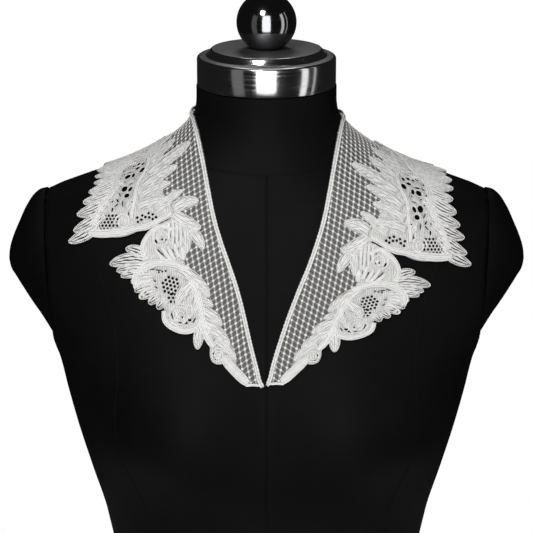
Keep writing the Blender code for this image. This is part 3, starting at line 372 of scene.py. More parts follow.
@dataclass
class Drape:
    """Lays the paper pattern on the form along the collar's middle line."""

    along_step: float = 3.0
    aside_step: float = 2.5
    aside_in: float = 70.0
    aside_out: float = 150.0
    fan_from: float = -20.0
    fan_to: float = 100.0
    slant: float = math.radians(-68.0)
    top_y: float = -26.0
    zero_z: float = 312.0
    slip: tuple[float, float] = (-2.5, -16.0)
    slip_start: float = 12.0
    slip_full: float = 122.0
    slip_fade: float = 90.0
    lean_shoulder: float = 1.9
    lean_v: float = -1.5
    lean_from: float = 240.0
    lean_to: float = 325.0

    def __post_init__(self) -> None:
        """Works out the middle line, the rows aside from it, and the line on paper."""
        self.middle = self.middle_on_form()
        self.step = float(np.linalg.norm(np.diff(self.middle, axis=0), axis=1).mean())
        self.rows = self.march()
        self.draw_on_paper()

    def middle_on_form(self) -> np.ndarray:
        """The middle line with even steps, starting square at the centre back.

        Returns:
            Its points on the form.
        """
        guide = np.array(MIDDLE_LINE, float)
        behind = guide[1:3][::-1] * [-1, 1, 1]
        line = smooth_line(np.vstack([behind, guide]), 1.0)
        line = line[np.argmax(line[:, 0] > 0) - 1 :]
        cross = line[0, 0] / (line[0, 0] - line[1, 0])
        line[0] = line[0] * (1 - cross) + line[1] * cross
        line = FORM.onto(averaged(FORM.onto(line), 60))
        return FORM.onto(evenly_spaced(line, self.along_step))

    def march(self) -> np.ndarray:
        """Rows of points that leave the middle line square, towards the neck and away from it.

        Returns:
            Places in space, by step along the line and step aside.
        """
        normals = FORM.normals(self.middle)
        ahead = np.gradient(self.middle, axis=0)
        ahead[0] = (1, 0, 0)
        ahead = unit(ahead - (ahead * normals).sum(1, keepdims=True) * normals)
        outward = np.cross(ahead, normals)
        outward *= np.sign(outward[len(outward) // 2, 0])
        outward[0, 0] = 0
        outward = unit(outward)
        inner = self.straight_rows(-outward, round(self.aside_in / self.aside_step))
        outer = self.straight_rows(outward, round(self.aside_out / self.aside_step))
        self.aside = np.arange(-len(inner), len(outer) + 1) * self.aside_step
        return np.stack(inner[::-1] + [self.middle] + outer, 1)

    def straight_rows(self, heading: np.ndarray, count: int) -> list[np.ndarray]:
        """Points at each step along straight paths over the surface.

        Args:
            heading: The way each path sets out.
            count: How many steps it takes.

        Returns:
            The points of all paths, step by step.
        """
        rows, here = [], self.middle
        for _ in range(count):
            there = FORM.onto(here + heading * self.aside_step, 3)
            normals = FORM.normals(there)
            heading = there - here
            heading = unit(heading - (heading * normals).sum(1, keepdims=True) * normals)
            rows.append(there)
            here = there
        return rows

    def draw_on_paper(self) -> None:
        """The middle line on paper, bent so that the paper fans out as the form does."""
        spread = np.linalg.norm(np.diff(self.rows, axis=0), axis=2) / self.step - 1
        near = (self.aside >= self.fan_from) & (self.aside < self.fan_to)
        aside = self.aside[near]
        fan = averaged((spread[:, near] * aside).sum(1) / (aside**2).sum(), 48)
        turn = np.concatenate([[0], np.cumsum(fan * self.step)])
        front = self.middle[:, 1] < 0
        top = int(np.argmin(np.abs(self.middle[:, 1] - self.top_y)))
        zero = int(np.argmin(np.where(front, np.abs(self.middle[:, 2] - self.zero_z), np.inf)))
        run = self.walk(turn)[1]
        chord = run[zero] - run[top]
        turn += self.slant - math.atan2(chord[1], chord[0])
        self.paper_ahead, paper = self.walk(turn)
        self.paper = paper - paper[zero]
        self.paper_out = np.stack([self.paper_ahead[:, 1], -self.paper_ahead[:, 0]], -1)

    def walk(self, turn: np.ndarray) -> tuple[np.ndarray, np.ndarray]:
        """Headings and places of a walk of even steps with the given turns.

        Args:
            turn: The heading at each step, in radians.

        Returns:
            The headings, and the places.
        """
        ahead = np.stack([np.cos(turn), np.sin(turn)], -1)
        strides = 0.5 * (ahead[1:] + ahead[:-1]) * self.step
        return ahead, np.vstack([[0, 0], np.cumsum(strides, axis=0)])

    def measure(self, pattern: np.ndarray) -> tuple[np.ndarray, np.ndarray]:
        """How far along the middle line and how far to its side each place on paper is.

        Args:
            pattern: Places on paper.

        Returns:
            The ways along, and the ways aside.
        """
        squares = ((pattern[:, None, :] - self.paper[None]) ** 2).sum(-1)
        nearest = squares.argmin(1)
        reach = ((pattern - self.paper[nearest]) * self.paper_ahead[nearest]).sum(-1)
        i = np.clip(np.where(reach >= 0, nearest, nearest - 1), 0, len(self.paper) - 2)
        before = ((pattern - self.paper[i]) * self.paper_ahead[i]).sum(-1)
        after = ((pattern - self.paper[i + 1]) * self.paper_ahead[i + 1]).sum(-1)
        t = before / (before - after)
        base = self.paper[i] * (1 - t)[:, None] + self.paper[i + 1] * t[:, None]
        out = unit(self.paper_out[i] * (1 - t)[:, None] + self.paper_out[i + 1] * t[:, None])
        return (i + t) * self.step, ((pattern - base) * out).sum(-1)

    def on_paper(self, along: float, aside: float) -> np.ndarray:
        """The place on paper that is so far along the middle line and so far to its side.

        Args:
            along: The way along.
            aside: The way aside.

        Returns:
            The place.
        """
        at = min(max(along / self.step, 0), len(self.paper) - 1.001)
        i = int(at)
        t = at - i
        base = self.paper[i] * (1 - t) + self.paper[i + 1] * t
        out = unit(self.paper_out[i] * (1 - t) + self.paper_out[i + 1] * t)
        return base + out * aside

    def slipped(self, pattern: np.ndarray, along: np.ndarray) -> np.ndarray:
        """The places on paper of lace that lies lower on the right half.

        Args:
            pattern: Places on paper.
            along: How far along the middle line they are.

        Returns:
            The moved places.
        """
        amount = smooth_step((pattern[:, 1] - self.slip_start) / (self.slip_full - self.slip_start))
        amount = amount * smooth_step(along / self.slip_fade)
        return pattern + amount[:, None] * np.array(self.slip)

    def lay(self, pattern: np.ndarray, height: np.ndarray, side: Side, slips: bool) -> np.ndarray:
        """Lays places on paper on the form.

        Args:
            pattern: Places on paper, one to a row, in millimetres.
            height: How far above the form each one lies.
            side: Which half of the collar.
            slips: True for the lace, which was pinned on lower on the right.

        Returns:
            Places in space, in millimetres.
        """
        along, aside = self.measure(pattern)
        if slips and side is Side.RIGHT:
            along, aside = self.measure(self.slipped(pattern, along))
        over = np.where(along < 0, -1.0, 1.0)
        along = np.abs(along)
        turn = smooth_step((along - self.lean_from) / (self.lean_to - self.lean_from))
        lean = self.lean_shoulder + (self.lean_v - self.lean_shoulder) * turn
        aside = aside + side.value * lean * smooth_step(along / self.slip_fade)
        a = np.clip(along / self.step, 0, len(self.middle) - 1.0001)
        b = np.clip((aside - self.aside[0]) / self.aside_step, 0, len(self.aside) - 1.0001)
        i, j = a.astype(int), b.astype(int)
        s, t = (a - i)[:, None], (b - j)[:, None]
        points = (1 - s) * ((1 - t) * self.rows[i, j] + t * self.rows[i, j + 1])
        points = points + s * ((1 - t) * self.rows[i + 1, j] + t * self.rows[i + 1, j + 1])
        points = FORM.onto(points, 2)
        points = points + FORM.normals(points) * np.reshape(height, (-1, 1))
        points[:, 0] *= over * side.value
        return points


DRAPE = Drape()


# Meshes


@lru_cache(maxsize=None)
def shell_faces(rows: int, columns: int) -> tuple[tuple[int, ...], ...]:
    """Faces of a closed shell over a grid: its upper points first, and then its lower ones.

    Args:
        rows: How many rows the grid has.
        columns: How many columns.

    Returns:
        The faces, by vertex.
    """
    count = rows * columns
    faces = []
    for i in range(rows - 1):
        for j in range(columns - 1):
            a = i * columns + j
            b, c, d = a + columns, a + columns + 1, a + 1
            faces += [(a, b, c, d), (d + count, c + count, b + count, a + count)]
        first, last = i * columns, i * columns + columns - 1
        faces.append((first + columns, first, first + count, first + columns + count))
        faces.append((last, last + columns, last + columns + count, last + count))
    for j in range(columns - 1):
        near, far = j, (rows - 1) * columns + j
        faces.append((near, near + 1, near + 1 + count, near + count))
        faces.append((far + 1, far, far + count, far + 1 + count))
    return tuple(faces)


@dataclass
class LaceCloth:
    """Gathers shells drawn on the pattern, and lays them on the form as one mesh."""

    places: list[np.ndarray] = field(default_factory=list)
    heights: list[np.ndarray] = field(default_factory=list)
    threads: list[np.ndarray] = field(default_factory=list)
    tones: list[np.ndarray] = field(default_factory=list)
    faces: list[tuple[int, ...]] = field(default_factory=list)
    count: int = 0

    def add(
        self,
        places: np.ndarray,
        heights: np.ndarray,
        faces: Iterable[tuple[int, ...]],
        threads: np.ndarray | None = None,
        tones: np.ndarray | float = 0.5,
    ) -> None:
        """Adds a shell.

        Args:
            places: Its points on the pattern.
            heights: How far each point stands above the form.
            faces: The faces between the points.
            threads: Each point's place across and along the threads, in millimetres.
            tones: How full the thread stands at each point, from 0 in a groove to 1 on a cord, with painted
                shade darkening the grooves.
        """
        self.places.append(places)
        self.heights.append(heights)
        self.threads.append(places if threads is None else threads)
        self.tones.append(np.broadcast_to(tones, len(places)))
        start = self.count
        self.faces += [tuple(corner + start for corner in face) for face in faces]
        self.count += len(places)

    def add_shell(
        self, grid: np.ndarray, top: np.ndarray, foot: float, threads: np.ndarray, tones: np.ndarray
    ) -> None:
        """Adds a closed shell over a grid of places, from a flat foot to its top.

        Args:
            grid: Places on the pattern, by row and column.
            top: The height of each.
            foot: The height of the underside.
            threads: Each place across and along the threads.
            tones: How full the thread stands at each, with painted shade in its grooves.
        """
        rows, columns = top.shape
        places, threads = grid.reshape(-1, 2), threads.reshape(-1, 2)
        heights = np.concatenate([top.ravel(), np.full(rows * columns, foot)])
        # Painted shade: the underside keeps only 0.6 of the value, so the shell's sides darken towards its
        # foot.
        tones = np.concatenate([tones.ravel(), tones.ravel() * 0.6])
        faces = shell_faces(rows, columns)
        self.add(np.vstack([places, places]), heights, faces, np.vstack([threads, threads]), tones)

    def build(self, name: str, side: Side, slips: bool = True) -> bpy.types.Object:
        """Lays the gathered shells on the form.

        Args:
            name: The object's name.
            side: Which half of the collar.
            slips: True for the lace, which was pinned on lower on the right.

        Returns:
            The new object, with the pattern as its UV map.
        """
        places = np.vstack(self.places)
        points = DRAPE.lay(places, np.concatenate(self.heights), side, slips) * MM
        faces = self.faces if side is Side.LEFT else [face[::-1] for face in self.faces]
        maps = {"pattern": places / 10.0, "thread": np.vstack(self.threads) / 10.0}
        return mesh_object(name, points, faces, maps, np.concatenate(self.tones))


def mesh_object(
    name: str,
    points: np.ndarray,
    faces: Sequence[Sequence[int]],
    maps: dict[str, np.ndarray] | None = None,
    tones: np.ndarray | None = None,
) -> bpy.types.Object:
    """A smooth mesh object at the origin.

    Args:
        name: The object's name.
        points: Its vertices, in metres.
        faces: Its faces, by vertex.
        maps: UV maps by name, a place in centimetres for each vertex.
        tones: How full the thread stands at each vertex, with painted groove shade, from 0 to 1.

    Returns:
        The object, linked to the scene.
    """
    mesh = bpy.data.meshes.new(name)
    mesh.from_pydata(points.tolist(), [], [tuple(face) for face in faces])
    corner = np.empty(len(mesh.loops), np.int32)
    mesh.loops.foreach_get("vertex_index", corner)
    for word, places in (maps or {}).items():
        layer = mesh.uv_layers.new(name=word)
        layer.data.foreach_set("uv", places[corner].astype(np.float32).ravel())
    if tones is not None:
        tone = mesh.attributes.new("tone", "FLOAT", "POINT")
        tone.data.foreach_set("value", tones.astype(np.float32))
    mesh.update()
    obj = bpy.data.objects.new(name, mesh)
    bpy.context.scene.collection.objects.link(obj)
    mesh.shade_smooth()
    return obj


@contextmanager
def editing(obj: bpy.types.Object) -> Iterator[None]:
    """Puts a piece in edit mode, all of it selected, and takes it out again.

    Args:
        obj: The piece.

    Returns:
        Nothing; the steps under it run in edit mode.
    """
    bpy.context.view_layer.objects.active = obj
    obj.select_set(True)
    bpy.ops.object.mode_set(mode="EDIT")
    bpy.ops.mesh.select_all(action="SELECT")
    yield
    bpy.ops.object.mode_set(mode="OBJECT")
    obj.select_set(False)


def face_outward() -> None:
    """Turns all faces of the piece in edit mode outwards."""
    bpy.ops.mesh.select_all(action="SELECT")
    bpy.ops.mesh.normals_make_consistent(inside=False)


def sharpen(obj: bpy.types.Object, degrees: float) -> None:
    """Shades the object smooth but for edges sharper than the angle.

    Args:
        obj: The object.
        degrees: The angle.
    """
    bpy.ops.object.select_all(action="DESELECT")
    bpy.context.view_layer.objects.active = obj
    obj.select_set(True)
    bpy.ops.object.shade_smooth_by_angle(angle=math.radians(degrees))
    obj.select_set(False)


def dress(obj: bpy.types.Object, material: bpy.types.Material) -> bpy.types.Object:
    """Gives a piece its material and its body, and logs how many faces it has.

    Args:
        obj: The piece.
        material: Its material.

    Returns:
        The piece.
    """
    obj.data.materials.clear()
    obj.data.materials.append(material)
    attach(obj, BODY)
    LOG.info("%s: %d faces", obj.name, len(obj.data.polygons))
    return obj


# Shells drawn on the pattern


class Section(NamedTuple):
    """A cross-section of a strip: places across it from -1 to 1, and the height at each, from 0 to 1."""

    across: tuple[float, ...]
    height: tuple[float, ...]


def mirrored_section(across: Sequence[float], height: Sequence[float]) -> Section:
    """A section from its right half, whose first place is 0, in the middle."""
    left = tuple(-a for a in reversed(across[1:]))
    return Section(left + tuple(across), tuple(reversed(height[1:])) + tuple(height))


CORD = mirrored_section((0.0, 0.55, 1.0), (1.0, 0.85, 0.1))
FINGER = mirrored_section((0.0, 0.5, 0.85, 1.0), (1.0, 0.85, 0.45, 0.0))
THIN_LEAF = mirrored_section((0.0, 0.2, 0.45, 0.75, 1.0), (1.0, 0.72, 0.62, 0.8, 0.0))
BEAD = mirrored_section((0.0, 1.0), (1.0, 0.1))
CLOTH_LEAF = mirrored_section((0.0, 0.1, 0.3, 0.6, 0.85, 1.0), (0.2, 0.95, 0.85, 0.6, 0.35, 0.0))
BAND = mirrored_section((0.0, 0.35, 0.62, 0.74, 0.88, 1.0), (0.8, 0.72, 0.45, 0.9, 1.0, 0.0))
TAPE = mirrored_section((0.0, 0.18, 0.4, 0.62, 0.86, 1.0), (0.4, 0.45, 0.75, 1.0, 0.8, 0.1))


def strip(
    cloth: LaceCloth,
    line: np.ndarray,
    half: np.ndarray | float,
    section: Section,
    foot: float,
    base: float,
    rise: np.ndarray | float,
    ripple: np.ndarray | None = None,
    tone: float = 1.0,
) -> None:
    """Adds a strip along a line on the pattern.

    Args:
        cloth: Where the strip goes.
        line: The middle of the strip, one place to a row.
        half: Half the strip's width, all along or at each place.
        section: Its cross-section.
        foot: The height of its underside above the form.
        base: The height of its lowest upper edge above the form.
        rise: How far its highest line stands above the base.
        ripple: A further rise for each place and each column.
        tone: The value of its highest line: how full the thread stands there, with painted shade below it.
    """
    ahead = unit(np.gradient(line, axis=0))
    left = np.stack([-ahead[:, 1], ahead[:, 0]], -1)
    across, height = np.array(section.across), np.array(section.height)
    half = np.broadcast_to(half, len(line))
    grid = line[:, None] + left[:, None] * (half[:, None] * across[None])[..., None]
    top = base + np.broadcast_to(rise, len(line))[:, None] * height[None]
    if ripple is not None:
        top = top + ripple
    along = np.concatenate([[0], np.cumsum(np.linalg.norm(np.diff(line, axis=0), axis=1))])
    threads = np.stack(np.broadcast_arrays(half[:, None] * across[None], along[:, None]), -1)
    # Painted shade: the value falls with the section's height, so the strip is darkest at its low edges and
    # grooves.
    tones = np.broadcast_to(tone * (0.05 + 0.95 * height), top.shape)
    # Painted shade and highlight: the ripple's crests are lighter and its grooves darker.
    if ripple is not None:
        tones = np.clip(tones + ripple * 1.9, 0, 1)
    cloth.add_shell(grid, top, foot, threads, tones)


class Look(Enum):
    """How a leaf is worked."""

    CLOTH = "close clothwork with veins inside a raised edge"
    OPEN = "fingers side by side with slits between them"
    THIN = "a narrow leaf with a raised middle"


class Leaf(NamedTuple):
    """A leaf from its root to its round tip, which bends to its left."""

    root_x: float
    root_y: float
    tip_x: float
    tip_y: float
    width: float
    bend: float = 1.0
    look: Look = Look.CLOTH


class Stem(NamedTuple):
    """One place on a stem or band, and the width there."""

    x: float
    y: float
    width: float


class Scroll(NamedTuple):
    """A spiral band: its centre, its radius at both ends, its start, its turn in degrees, and its width."""

    x: float
    y: float
    outer: float
    inner: float
    start: float
    turn: float
    width: float


class Hole(NamedTuple):
    """An oval hole."""

    x: float
    y: float
    width: float
    height: float
    turn: float


class Filling(NamedTuple):
    """An oval patch of open ground with rows of round holes."""

    x: float
    y: float
    half_width: float
    half_height: float
    turn: float
    pitch: float
    hole: float


@dataclass
class LeafMaker:
    """Works one leaf in its look."""

    root_share: float = 0.12
    row_step: float = 1.5
    cloth_rise: float = 0.75
    edge_cord: float = 0.48
    bead_pitch: float = 1.6
    bead_depth: float = 0.28
    bead_rise: float = 0.85
    bead_swell: float = 0.3
    thin_rise: float = 0.8
    finger_pitch: float = 2.3
    finger_fill: float = 0.74
    finger_rise: float = 0.75
    finger_sunk: float = 0.2
    slit_swing: float = 0.2
    slit_pitch: float = 8.5
    vein_pitch: float = 2.2
    vein_depth: float = 0.2

    def half_width(self, leaf: Leaf, t: np.ndarray) -> np.ndarray:
        """Half the leaf's width, so far from its root towards its tip."""
        turn = math.pi * (self.root_share + (1 - self.root_share) * t)
        return 0.5 * leaf.width * np.sqrt(np.maximum(np.sin(turn), 0))

    def at(self, leaf: Leaf, t: np.ndarray, aside: np.ndarray) -> np.ndarray:
        """Places so far along the bent middle and so far to its left.

        Args:
            leaf: The leaf.
            t: Shares of the way from root to tip.
            aside: Ways to the left.

        Returns:
            The places.
        """
        root = np.array([leaf.root_x, leaf.root_y])
        run = np.array([leaf.tip_x, leaf.tip_y]) - root
        left = np.array([-run[1], run[0]]) / np.linalg.norm(run)
        bend = leaf.bend * 4 * t * (1 - t)
        return root + t[:, None] * run + (bend + aside)[:, None] * left

    def length(self, leaf: Leaf) -> float:
        """From root to tip."""
        return math.hypot(leaf.tip_x - leaf.root_x, leaf.tip_y - leaf.root_y)

    def outline(self, leaf: Leaf) -> np.ndarray:
        """The leaf's edge, from its root along the right side to the tip and back.

        Args:
            leaf: The leaf.

        Returns:
            The edge's points.
        """
        t = 1 - np.cos(np.linspace(0, math.pi / 2, 9))
        t = 1 - t[::-1]
        right = self.at(leaf, t, -self.half_width(leaf, t))
        left = self.at(leaf, t[:-1], self.half_width(leaf, t[:-1]))[::-1]
        return np.vstack([right, left])

    def work(self, cloth: LaceCloth, leaf: Leaf, lift: float) -> None:
        """Adds the leaf in its look, so far above the ground cloth.

        Args:
            cloth: Where the leaf goes.
            leaf: The leaf.
            lift: How far it is lifted.
        """
        if leaf.look is Look.OPEN:
            self.open_leaf(cloth, leaf, lift)
        elif leaf.look is Look.THIN:
            self.thin_leaf(cloth, leaf, lift)
        else:
            self.cloth_leaf(cloth, leaf, lift)

    def rows(self, leaf: Leaf) -> np.ndarray:
        """How far along the leaf its rows are, closer together at the tip.

        Args:
            leaf: The leaf.

        Returns:
            Shares of its length.
        """
        count = max(6, round(self.length(leaf) / self.row_step))
        even = np.linspace(0, 1, count)
        return 0.6 * even + 0.4 * np.sin(even * math.pi / 2)

    def cloth_leaf(self, cloth: LaceCloth, leaf: Leaf, lift: float) -> None:
        """Close clothwork: a raised edge, a sunk midrib and side veins.

        Args:
            cloth: Where the leaf goes.
            leaf: The leaf.
            lift: How far it is lifted.
        """
        t = self.rows(leaf)
        half = np.maximum(self.half_width(leaf, t), 0.15)
        across = np.abs(np.array(CLOTH_LEAF.across))
        phase = (t * self.length(leaf))[:, None] - across[None] * leaf.width * 0.45
        field_only = ((across > 0.1) & (across < 0.9)).astype(float)
        ripple = self.vein_depth * np.cos(2 * math.pi * phase / self.vein_pitch) * field_only
        rise = self.cloth_rise * np.minimum(1, 0.45 + half / 3)
        base = Layer.RAISED.value + lift
        line = self.at(leaf, t, np.zeros_like(t))
        strip(cloth, line, half, CLOTH_LEAF, Layer.LACE.value, base, rise, ripple, tone=0.85)
        self.beaded_edge(cloth, leaf, base)

    def beaded_edge(self, cloth: LaceCloth, leaf: Leaf, base: float) -> None:
        """The little loops of thread round a leaf's edge.

        Args:
            cloth: Where the loops go.
            leaf: The leaf.
            base: The height that they lie at.
        """
        edge = evenly_spaced(self.outline(leaf), self.bead_pitch / 4)
        wave = np.cos(np.arange(len(edge)) * math.pi / 2)
        half = self.edge_cord * (1 + self.bead_depth * wave)
        rise = self.bead_rise * (1 + self.bead_swell * wave)
        strip(cloth, edge, half, BEAD, Layer.LACE.value, base, rise)

    def thin_leaf(self, cloth: LaceCloth, leaf: Leaf, lift: float) -> None:
        """A narrow leaf.

        Args:
            cloth: Where the leaf goes.
            leaf: The leaf.
            lift: How far it is lifted.
        """
        t = self.rows(leaf)
        half = np.maximum(self.half_width(leaf, t), 0.12)
        base = Layer.RAISED.value + lift
        line = self.at(leaf, t, np.zeros_like(t))
        strip(cloth, line, half, THIN_LEAF, Layer.LACE.value, base, self.thin_rise)

    def open_leaf(self, cloth: LaceCloth, leaf: Leaf, lift: float) -> None:
        """Fingers side by side inside a corded edge.

        Args:
            cloth: Where the leaf goes.
            leaf: The leaf.
            lift: How far it is lifted.
        """
        count = max(2, round((leaf.width - 2 * self.edge_cord) / self.finger_pitch))
        t = self.rows(leaf)[:-1]
        inner = np.maximum(self.half_width(leaf, t) - self.edge_cord, 0.2)
        base = Layer.RAISED.value + lift
        for k in range(count):
            place = -1 + (2 * k + 1) / count
            line = self.at(leaf, t, inner * place)
            phase = t * self.length(leaf) / self.slit_pitch + 0.37 * k
            open_here = self.slit_swing * np.cos(2 * math.pi * phase)
            half = inner / count * (self.finger_fill + open_here)
            low = base - self.finger_sunk
            strip(cloth, line, half, FINGER, Layer.LACE.value, low, self.finger_rise, tone=0.9)
        self.beaded_edge(cloth, leaf, base)


MAKER = LeafMaker()


def spiral(scroll: Scroll, step: float = 1.3) -> np.ndarray:
    """The middle line of a scroll.

    Args:
        scroll: The scroll.
        step: The way between points.

    Returns:
        The line's points.
    """
    sweep = math.radians(scroll.turn)
    mean = 0.5 * (scroll.outer + scroll.inner)
    count = max(8, round(abs(sweep) * mean / step))
    share = np.linspace(0, 1, count)
    angle = math.radians(scroll.start) + sweep * share
    radius = scroll.outer + (scroll.inner - scroll.outer) * share
    return np.stack([scroll.x + radius * np.cos(angle), scroll.y + radius * np.sin(angle)], -1)


def oval(x: float, y: float, half_width: float, half_height: float, turn: float, count: int) -> np.ndarray:
    """Places round an oval, anticlockwise.

    Args:
        x: The centre.
        y: The centre.
        half_width: Half its width.
        half_height: Half its height.
        turn: How far it is turned, in degrees.
        count: How many places.

    Returns:
        The places.
    """
    angles = np.arange(count) * 2 * math.pi / count
    a, b = half_width * np.cos(angles), half_height * np.sin(angles)
    c, s = math.cos(math.radians(turn)), math.sin(math.radians(turn))
    return np.stack([x + a * c - b * s, y + a * s + b * c], -1)


def filling_holes(filling: Filling) -> list[np.ndarray]:
    """The holes of a filling, in offset rows.

    Args:
        filling: The filling.

    Returns:
        The outline of each hole.
    """
    c, s = math.cos(math.radians(filling.turn)), math.sin(math.radians(filling.turn))
    reach = max(filling.half_width, filling.half_height)
    steps = range(-int(reach / filling.pitch) - 1, int(reach / filling.pitch) + 2)
    holes = []
    for row in steps:
        for column in steps:
            a = (column + 0.5 * (row % 2)) * filling.pitch
            b = row * filling.pitch * 0.87
            inside = (a / filling.half_width) ** 2 + (b / filling.half_height) ** 2 < 1
            if inside:
                place = (filling.x + a * c - b * s, filling.y + a * s + b * c)
                holes.append(oval(*place, filling.hole / 2, filling.hole / 2, 0, 7))
    return holes


# Flat pieces cut from one cloth


@dataclass
class FlatCut:
    """A flat piece with holes, cut into small triangles so that it follows the form."""

    outline: np.ndarray
    holes: list[np.ndarray] = field(default_factory=list)
    spacing: float = 3.5
    clear: float = 1.2
    merge: float = 0.05

    def triangles(self) -> tuple[np.ndarray, list[tuple[int, ...]]]:
        """The piece's points and its triangles, anticlockwise.

        Returns:
            The points, and the triangles by point.
        """
        loops = [evenly_spaced(np.vstack([self.outline, self.outline[:1]]), self.spacing)[:-1]]
        loops[0] = self.anticlockwise(loops[0])
        loops += [self.anticlockwise(hole) for hole in self.holes]
        points = [tuple(p) for loop in loops for p in loop]
        faces, start = [], 0
        for loop in loops:
            faces.append(list(range(start, start + len(loop))))
            start += len(loop)
        points += [tuple(p) for p in self.filler(loops)]
        vectors = [Vector(p) for p in points]
        result = delaunay_2d_cdt(vectors, [], faces, 1, self.merge, True)
        flat = np.array([tuple(p) for p in result[0]])
        kept = [tuple(f) for f, over in zip(result[2], result[5]) if list(over) == [0]]
        return flat, kept

    @staticmethod
    def anticlockwise(loop: np.ndarray) -> np.ndarray:
        """The loop in anticlockwise order.

        Args:
            loop: The loop.

        Returns:
            The same loop, turned round if need be.
        """
        x, y = loop.T
        turns = (x * np.roll(y, -1) - np.roll(x, -1) * y).sum()
        return loop if turns > 0 else loop[::-1]

    @staticmethod
    def inside(points: np.ndarray, loop: np.ndarray) -> np.ndarray:
        """Which points lie inside the loop.

        Args:
            points: The points.
            loop: The loop.

        Returns:
            True for each point inside.
        """
        x, y = points.T
        result = np.zeros(len(points), bool)
        for (x0, y0), (x1, y1) in zip(loop, np.roll(loop, -1, axis=0)):
            if y0 != y1:
                crosses = (y0 > y) != (y1 > y)
                result ^= crosses & (x < (x1 - x0) * (y - y0) / (y1 - y0) + x0)
        return result

    def filler(self, loops: list[np.ndarray]) -> np.ndarray:
        """An even grid of points inside the piece, clear of its edges.

        Args:
            loops: The outline and the holes.

        Returns:
            The points.
        """
        low, high = loops[0].min(0), loops[0].max(0)
        xs = np.arange(low[0], high[0], self.spacing)
        ys = np.arange(low[1], high[1], self.spacing * 0.87)
        grid = np.array([(x + self.spacing / 2 * (k % 2), y) for k, y in enumerate(ys) for x in xs])
        keep = self.inside(grid, loops[0])
        for loop in loops[1:]:
            keep &= ~self.inside(grid, loop)
        grid = grid[keep]
        taken = np.vstack(loops)
        apart = np.array([((taken - p) ** 2).sum(1).min() for p in grid]) > self.clear**2
        return grid[apart]

    def wall(self, cloth: LaceCloth, foot: float, top: float) -> None:
        """Adds the piece to a cloth as a wall between two heights.

        Args:
            cloth: Where the piece goes.
            foot: The height of its underside.
            top: The height of its upper face.
        """
        flat, kept = self.triangles()
        count = len(flat)
        sides = {(a, b) for face in kept for a, b in zip(face, face[1:] + face[:1])}
        faces = list(kept) + [tuple(c + count for c in reversed(face)) for face in kept]
        faces += [(b, a, a + count, b + count) for a, b in sides if (b, a) not in sides]
        heights = np.repeat([top, foot], count)
        cloth.add(np.vstack([flat, flat]), heights, faces, tones=0.5)

    def sheet(self, cloth: LaceCloth, height: float) -> None:
        """Adds the piece to a cloth as one thin sheet."""
        flat, kept = self.triangles()
        cloth.add(flat, np.full(len(flat), height), kept)


@dataclass(frozen=True)
class SprayDesign:
    """What one spray of the lace border is made of, drawn on the pattern."""

    name: str
    ground: tuple[PatternPoint, ...]
    leaves: tuple[Leaf, ...]
    stems: tuple[tuple[Stem, ...], ...] = ()
    scrolls: tuple[Scroll, ...] = ()
    holes: tuple[Hole, ...] = ()
    fillings: tuple[Filling, ...] = ()
    pricks: tuple[PatternPoint, ...] = ()
    slits: tuple[Hole, ...] = ()


@dataclass
class Spray:
    """One spray of the border: a ground cloth with its holes, and what is worked on top of it."""

    design: SprayDesign
    ground_top: float = 2.15
    stem_rise: float = 1.0
    scroll_rise: float = 0.95
    ring_rise: float = 0.42
    ring_width: float = 0.55
    lift_step: float = 0.07
    prick: float = 2.2

    def ground_cut(self) -> FlatCut:
        """The ground cloth, smooth round its outline.

        Returns:
            The cut, with its holes and slits.
        """
        outline = np.array(self.design.ground, float)
        closed = np.vstack([outline[-1:], outline, outline[:2]])
        curve = smooth_line(closed, 1.0)
        half = len(curve) // 2
        start = int(np.argmin(np.linalg.norm(curve[:half] - outline[0], axis=1)))
        end = half + int(np.argmin(np.linalg.norm(curve[half:] - outline[0], axis=1)))
        cuts = self.design.holes + self.design.slits
        holes = [oval(h.x, h.y, h.width / 2, h.height / 2, h.turn, 12) for h in cuts]
        for filling in self.design.fillings:
            holes += filling_holes(filling)
        holes += [oval(*place, self.prick / 2, self.prick / 2, 0, 7) for place in self.design.pricks]
        return FlatCut(curve[start:end], holes)

    def ground(self, side: Side) -> bpy.types.Object:
        """The ground cloth of one half.

        Args:
            side: Which half.

        Returns:
            The new object.
        """
        cloth = LaceCloth()
        self.ground_cut().wall(cloth, Layer.LACE.value, self.ground_top)
        return cloth.build(f"{self.design.name}_ground_{side.word}", side)

    def raised(self, side: Side) -> bpy.types.Object:
        """The leaves, stems, scrolls and corded rings of one half.

        Args:
            side: Which half.

        Returns:
            The new object.
        """
        cloth = LaceCloth()
        foot, base = Layer.LACE.value, Layer.RAISED.value
        for k, leaf in enumerate(self.design.leaves):
            MAKER.work(cloth, leaf, self.lift_step * (k % 4))
        for stem in self.design.stems:
            rows = smooth_line([tuple(place) for place in stem], 1.4)
            strip(cloth, rows[:, :2], rows[:, 2] / 2, BAND, foot, base, self.stem_rise)
        for scroll in self.design.scrolls:
            line = spiral(scroll)
            half = np.full(len(line), scroll.width / 2)
            strip(cloth, line, half, FINGER, foot, base, self.scroll_rise)
        for hole in self.design.holes:
            reach = self.ring_width / 2
            ring = oval(hole.x, hole.y, hole.width / 2 + reach, hole.height / 2 + reach, hole.turn, 16)
            ring = np.vstack([ring, ring[:2]])
            strip(cloth, ring, self.ring_width / 2, CORD, foot, base, self.ring_rise)
        return cloth.build(f"{self.design.name}_leaves_{side.word}", side)


# The border's three sprays, drawn on the pattern

OPEN, THIN = Look.OPEN, Look.THIN

